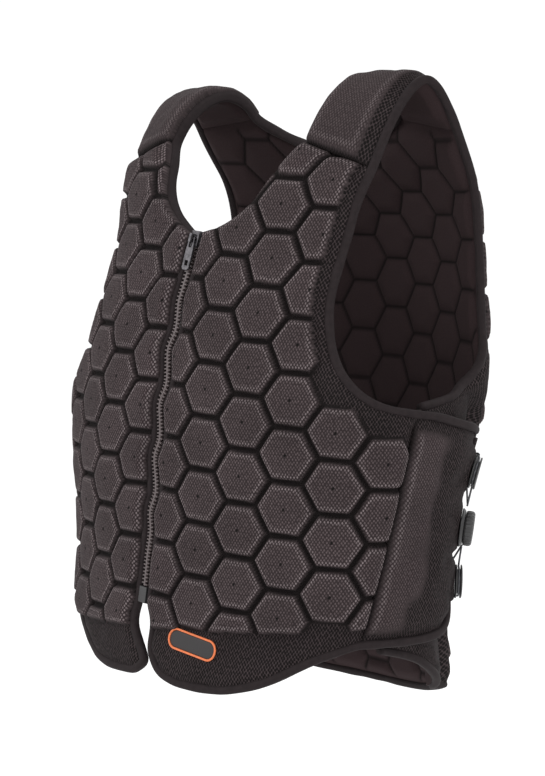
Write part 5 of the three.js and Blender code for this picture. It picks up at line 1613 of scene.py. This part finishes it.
def badge_rim():
    """Round rim: an ellipse carried round the pill's outline."""
    line = pill(BADGE_LENGTH - BADGE_RIM, BADGE_HEIGHT - BADGE_RIM, 24)
    outward = left_normal(np.roll(line, -1, 0), np.roll(line, 1, 0))
    angles = full_turn(12)
    profile = np.stack([np.cos(angles) * BADGE_RIM / 2, np.sin(angles) * BADGE_RIM_HALF], -1)
    return carry(
        profile, flat(line, BADGE_RIM_HALF), flat(outward, 0.0), flat(0 * outward, 1.0), closed=True)


def badge_plate():
    """Domed plate: the pill's outline scaled and raised level by level."""
    inset = 2 * (BADGE_RIM + BADGE_GAP)
    outline = pill(BADGE_LENGTH - inset, BADGE_HEIGHT - inset, 24)
    points = np.vstack([flat(outline * scale, z) for scale, z in BADGE_LEVELS])
    index = np.arange(len(points)).reshape(len(BADGE_LEVELS), -1)
    return points, tube_faces(index) + end_faces(index)


class VEST_OT_badge(bpy.types.Operator):
    """Bare pill badge with a raised rim, on the left hem"""

    bl_idname = "vest.badge"
    bl_label = "Badge"

    def execute(self, context):
        at = badge_place()
        points, faces = badge_rim()
        rim = make_object("badge_edge", to_body(at, points), faces, ["orange rubber"])
        place(rim, ["badge_rim"])
        points, faces = badge_plate()
        plate = make_object("badge_field", to_body(at, points), faces, ["dark rubber"])
        place(plate, ["badge_plate"])
        return {"FINISHED"}


# Stage

# Camera: angles in degrees and distance in metres from a target, the point it looks at, lens in millimetres
CAMERA_AZIMUTH, CAMERA_ELEVATION, CAMERA_DISTANCE = 51.0, 5.5, 2.56
CAMERA_TARGET = (0.0, -0.065, -0.262)
CAMERA_AIM = (0.023, -0.0366, -0.2583)
CAMERA_LENS, SENSOR_WIDTH = 131.95, 36
# Floor's height and half size in metres, and strength of the white surroundings
FLOOR_Z, FLOOR_HALF, SKY_STRENGTH = -0.9, 9, 1.06
# Soft lights: place and size in metres, power in watts
LIGHTS = [
    ((-1.6, -2.4, 1.6), 1.8, 26),
    ((2.6, -1.2, 1.2), 1.6, 18),
    ((0.3, 2.4, 1.8), 1.8, 16),
]


def turn_to(spot, target):
    """Rotation of a lamp or camera at a spot that looks at a target."""
    return (Vector(target) - Vector(spot)).to_track_quat("-Z", "Y").to_euler()


def add_floor():
    """Wide sheet of matt white paper with a hardly visible grain."""
    tree = new_material("pale floor paper")
    grain = add_node(tree, "ShaderNodeTexNoise", {"Vector": object_place(tree), "Scale": 900.0}).outputs[0]
    finish_material(tree, base_color=ranged(tree, grain, 0, 1, 0.985, 1.0), roughness=0.9)
    corners = flat(FLOOR_HALF * np.array([(-1, -1), (1, -1), (1, 1), (-1, 1)]), FLOOR_Z)
    make_object("floor", corners / MM, [[0, 1, 2, 3]], ["pale floor paper"], smooth=False)


def add_lights(scene):
    """White surroundings and the soft lights, turned to the vest."""
    world = bpy.data.worlds.new("studio")
    world.use_nodes = True
    inputs = world.node_tree.nodes["Background"].inputs
    inputs["Color"].default_value = (1, 1, 1, 1)
    inputs["Strength"].default_value = SKY_STRENGTH
    scene.world = world
    for number, (spot, size, power) in enumerate(LIGHTS):
        light = bpy.data.lights.new(f"soft_light_{number}", "AREA")
        light.size, light.energy = size, power
        lamp = bpy.data.objects.new(light.name, light)
        lamp.location = spot
        lamp.rotation_euler = turn_to(spot, CAMERA_TARGET)
        scene.collection.objects.link(lamp)


def add_camera(scene):
    """Camera on a circle round the vest, aimed beside its middle."""
    camera = bpy.data.objects.new("camera", bpy.data.cameras.new("camera"))
    azimuth, elevation = math.radians(CAMERA_AZIMUTH), math.radians(CAMERA_ELEVATION)
    flat_reach = math.cos(elevation)
    way = Vector((math.sin(azimuth) * flat_reach, -math.cos(azimuth) * flat_reach, math.sin(elevation)))
    camera.location = Vector(CAMERA_TARGET) + way * CAMERA_DISTANCE
    camera.rotation_euler = turn_to(camera.location, CAMERA_AIM)
    camera.data.lens, camera.data.sensor_width, camera.data.sensor_fit = CAMERA_LENS, SENSOR_WIDTH, "AUTO"
    camera.data.clip_end = 100
    scene.collection.objects.link(camera)
    scene.camera = camera


class VEST_OT_stage(bpy.types.Operator):
    """Materials, pale floor, soft lights and the camera"""

    bl_idname = "vest.stage"
    bl_label = "Stage"

    def execute(self, context):
        make_materials(context.scene.vest_colours)
        add_floor()
        add_lights(context.scene)
        add_camera(context.scene)
        context.scene.view_settings.view_transform = "Standard"
        return {"FINISHED"}


class VEST_PT_sidebar(bpy.types.Panel):
    """Lists the vest's pieces and sizes"""

    bl_label = "Vest"
    bl_idname = "VEST_PT_sidebar"
    bl_space_type = "VIEW_3D"
    bl_region_type = "UI"
    bl_category = "Vest"

    def draw(self, context):
        for operator in OPERATORS:
            self.layout.operator(operator.bl_idname)
        for name, cls in GROUPS.items():
            for key in cls.__annotations__:
                self.layout.prop(getattr(context.scene, name), key)


GROUPS = {"vest_quilt": VestQuiltSizes, "vest_trim": VestTrimSizes, "vest_colours": VestColours}
OPERATORS = (VEST_OT_stage, VEST_OT_fronts, VEST_OT_back, VEST_OT_flaps, VEST_OT_shoulders, VEST_OT_bindings,
             VEST_OT_zip, VEST_OT_lacing, VEST_OT_badge)


def register():
    for cls in (*GROUPS.values(), *OPERATORS, VEST_PT_sidebar):
        bpy.utils.register_class(cls)
    for name, cls in GROUPS.items():
        setattr(bpy.types.Scene, name, bpy.props.PointerProperty(type=cls))


def unregister():
    for name in GROUPS:
        delattr(bpy.types.Scene, name)
    for cls in (VEST_PT_sidebar, *reversed(OPERATORS), *GROUPS.values()):
        bpy.utils.unregister_class(cls)


def main():
    register()
    bpy.ops.vest.stage()
    bpy.ops.vest.fronts()
    bpy.ops.vest.back()
    bpy.ops.vest.flaps()
    bpy.ops.vest.shoulders()
    bpy.ops.vest.bindings()
    bpy.ops.vest.zip()
    bpy.ops.vest.lacing()
    bpy.ops.vest.badge()


if __name__ == "__main__":
    main()
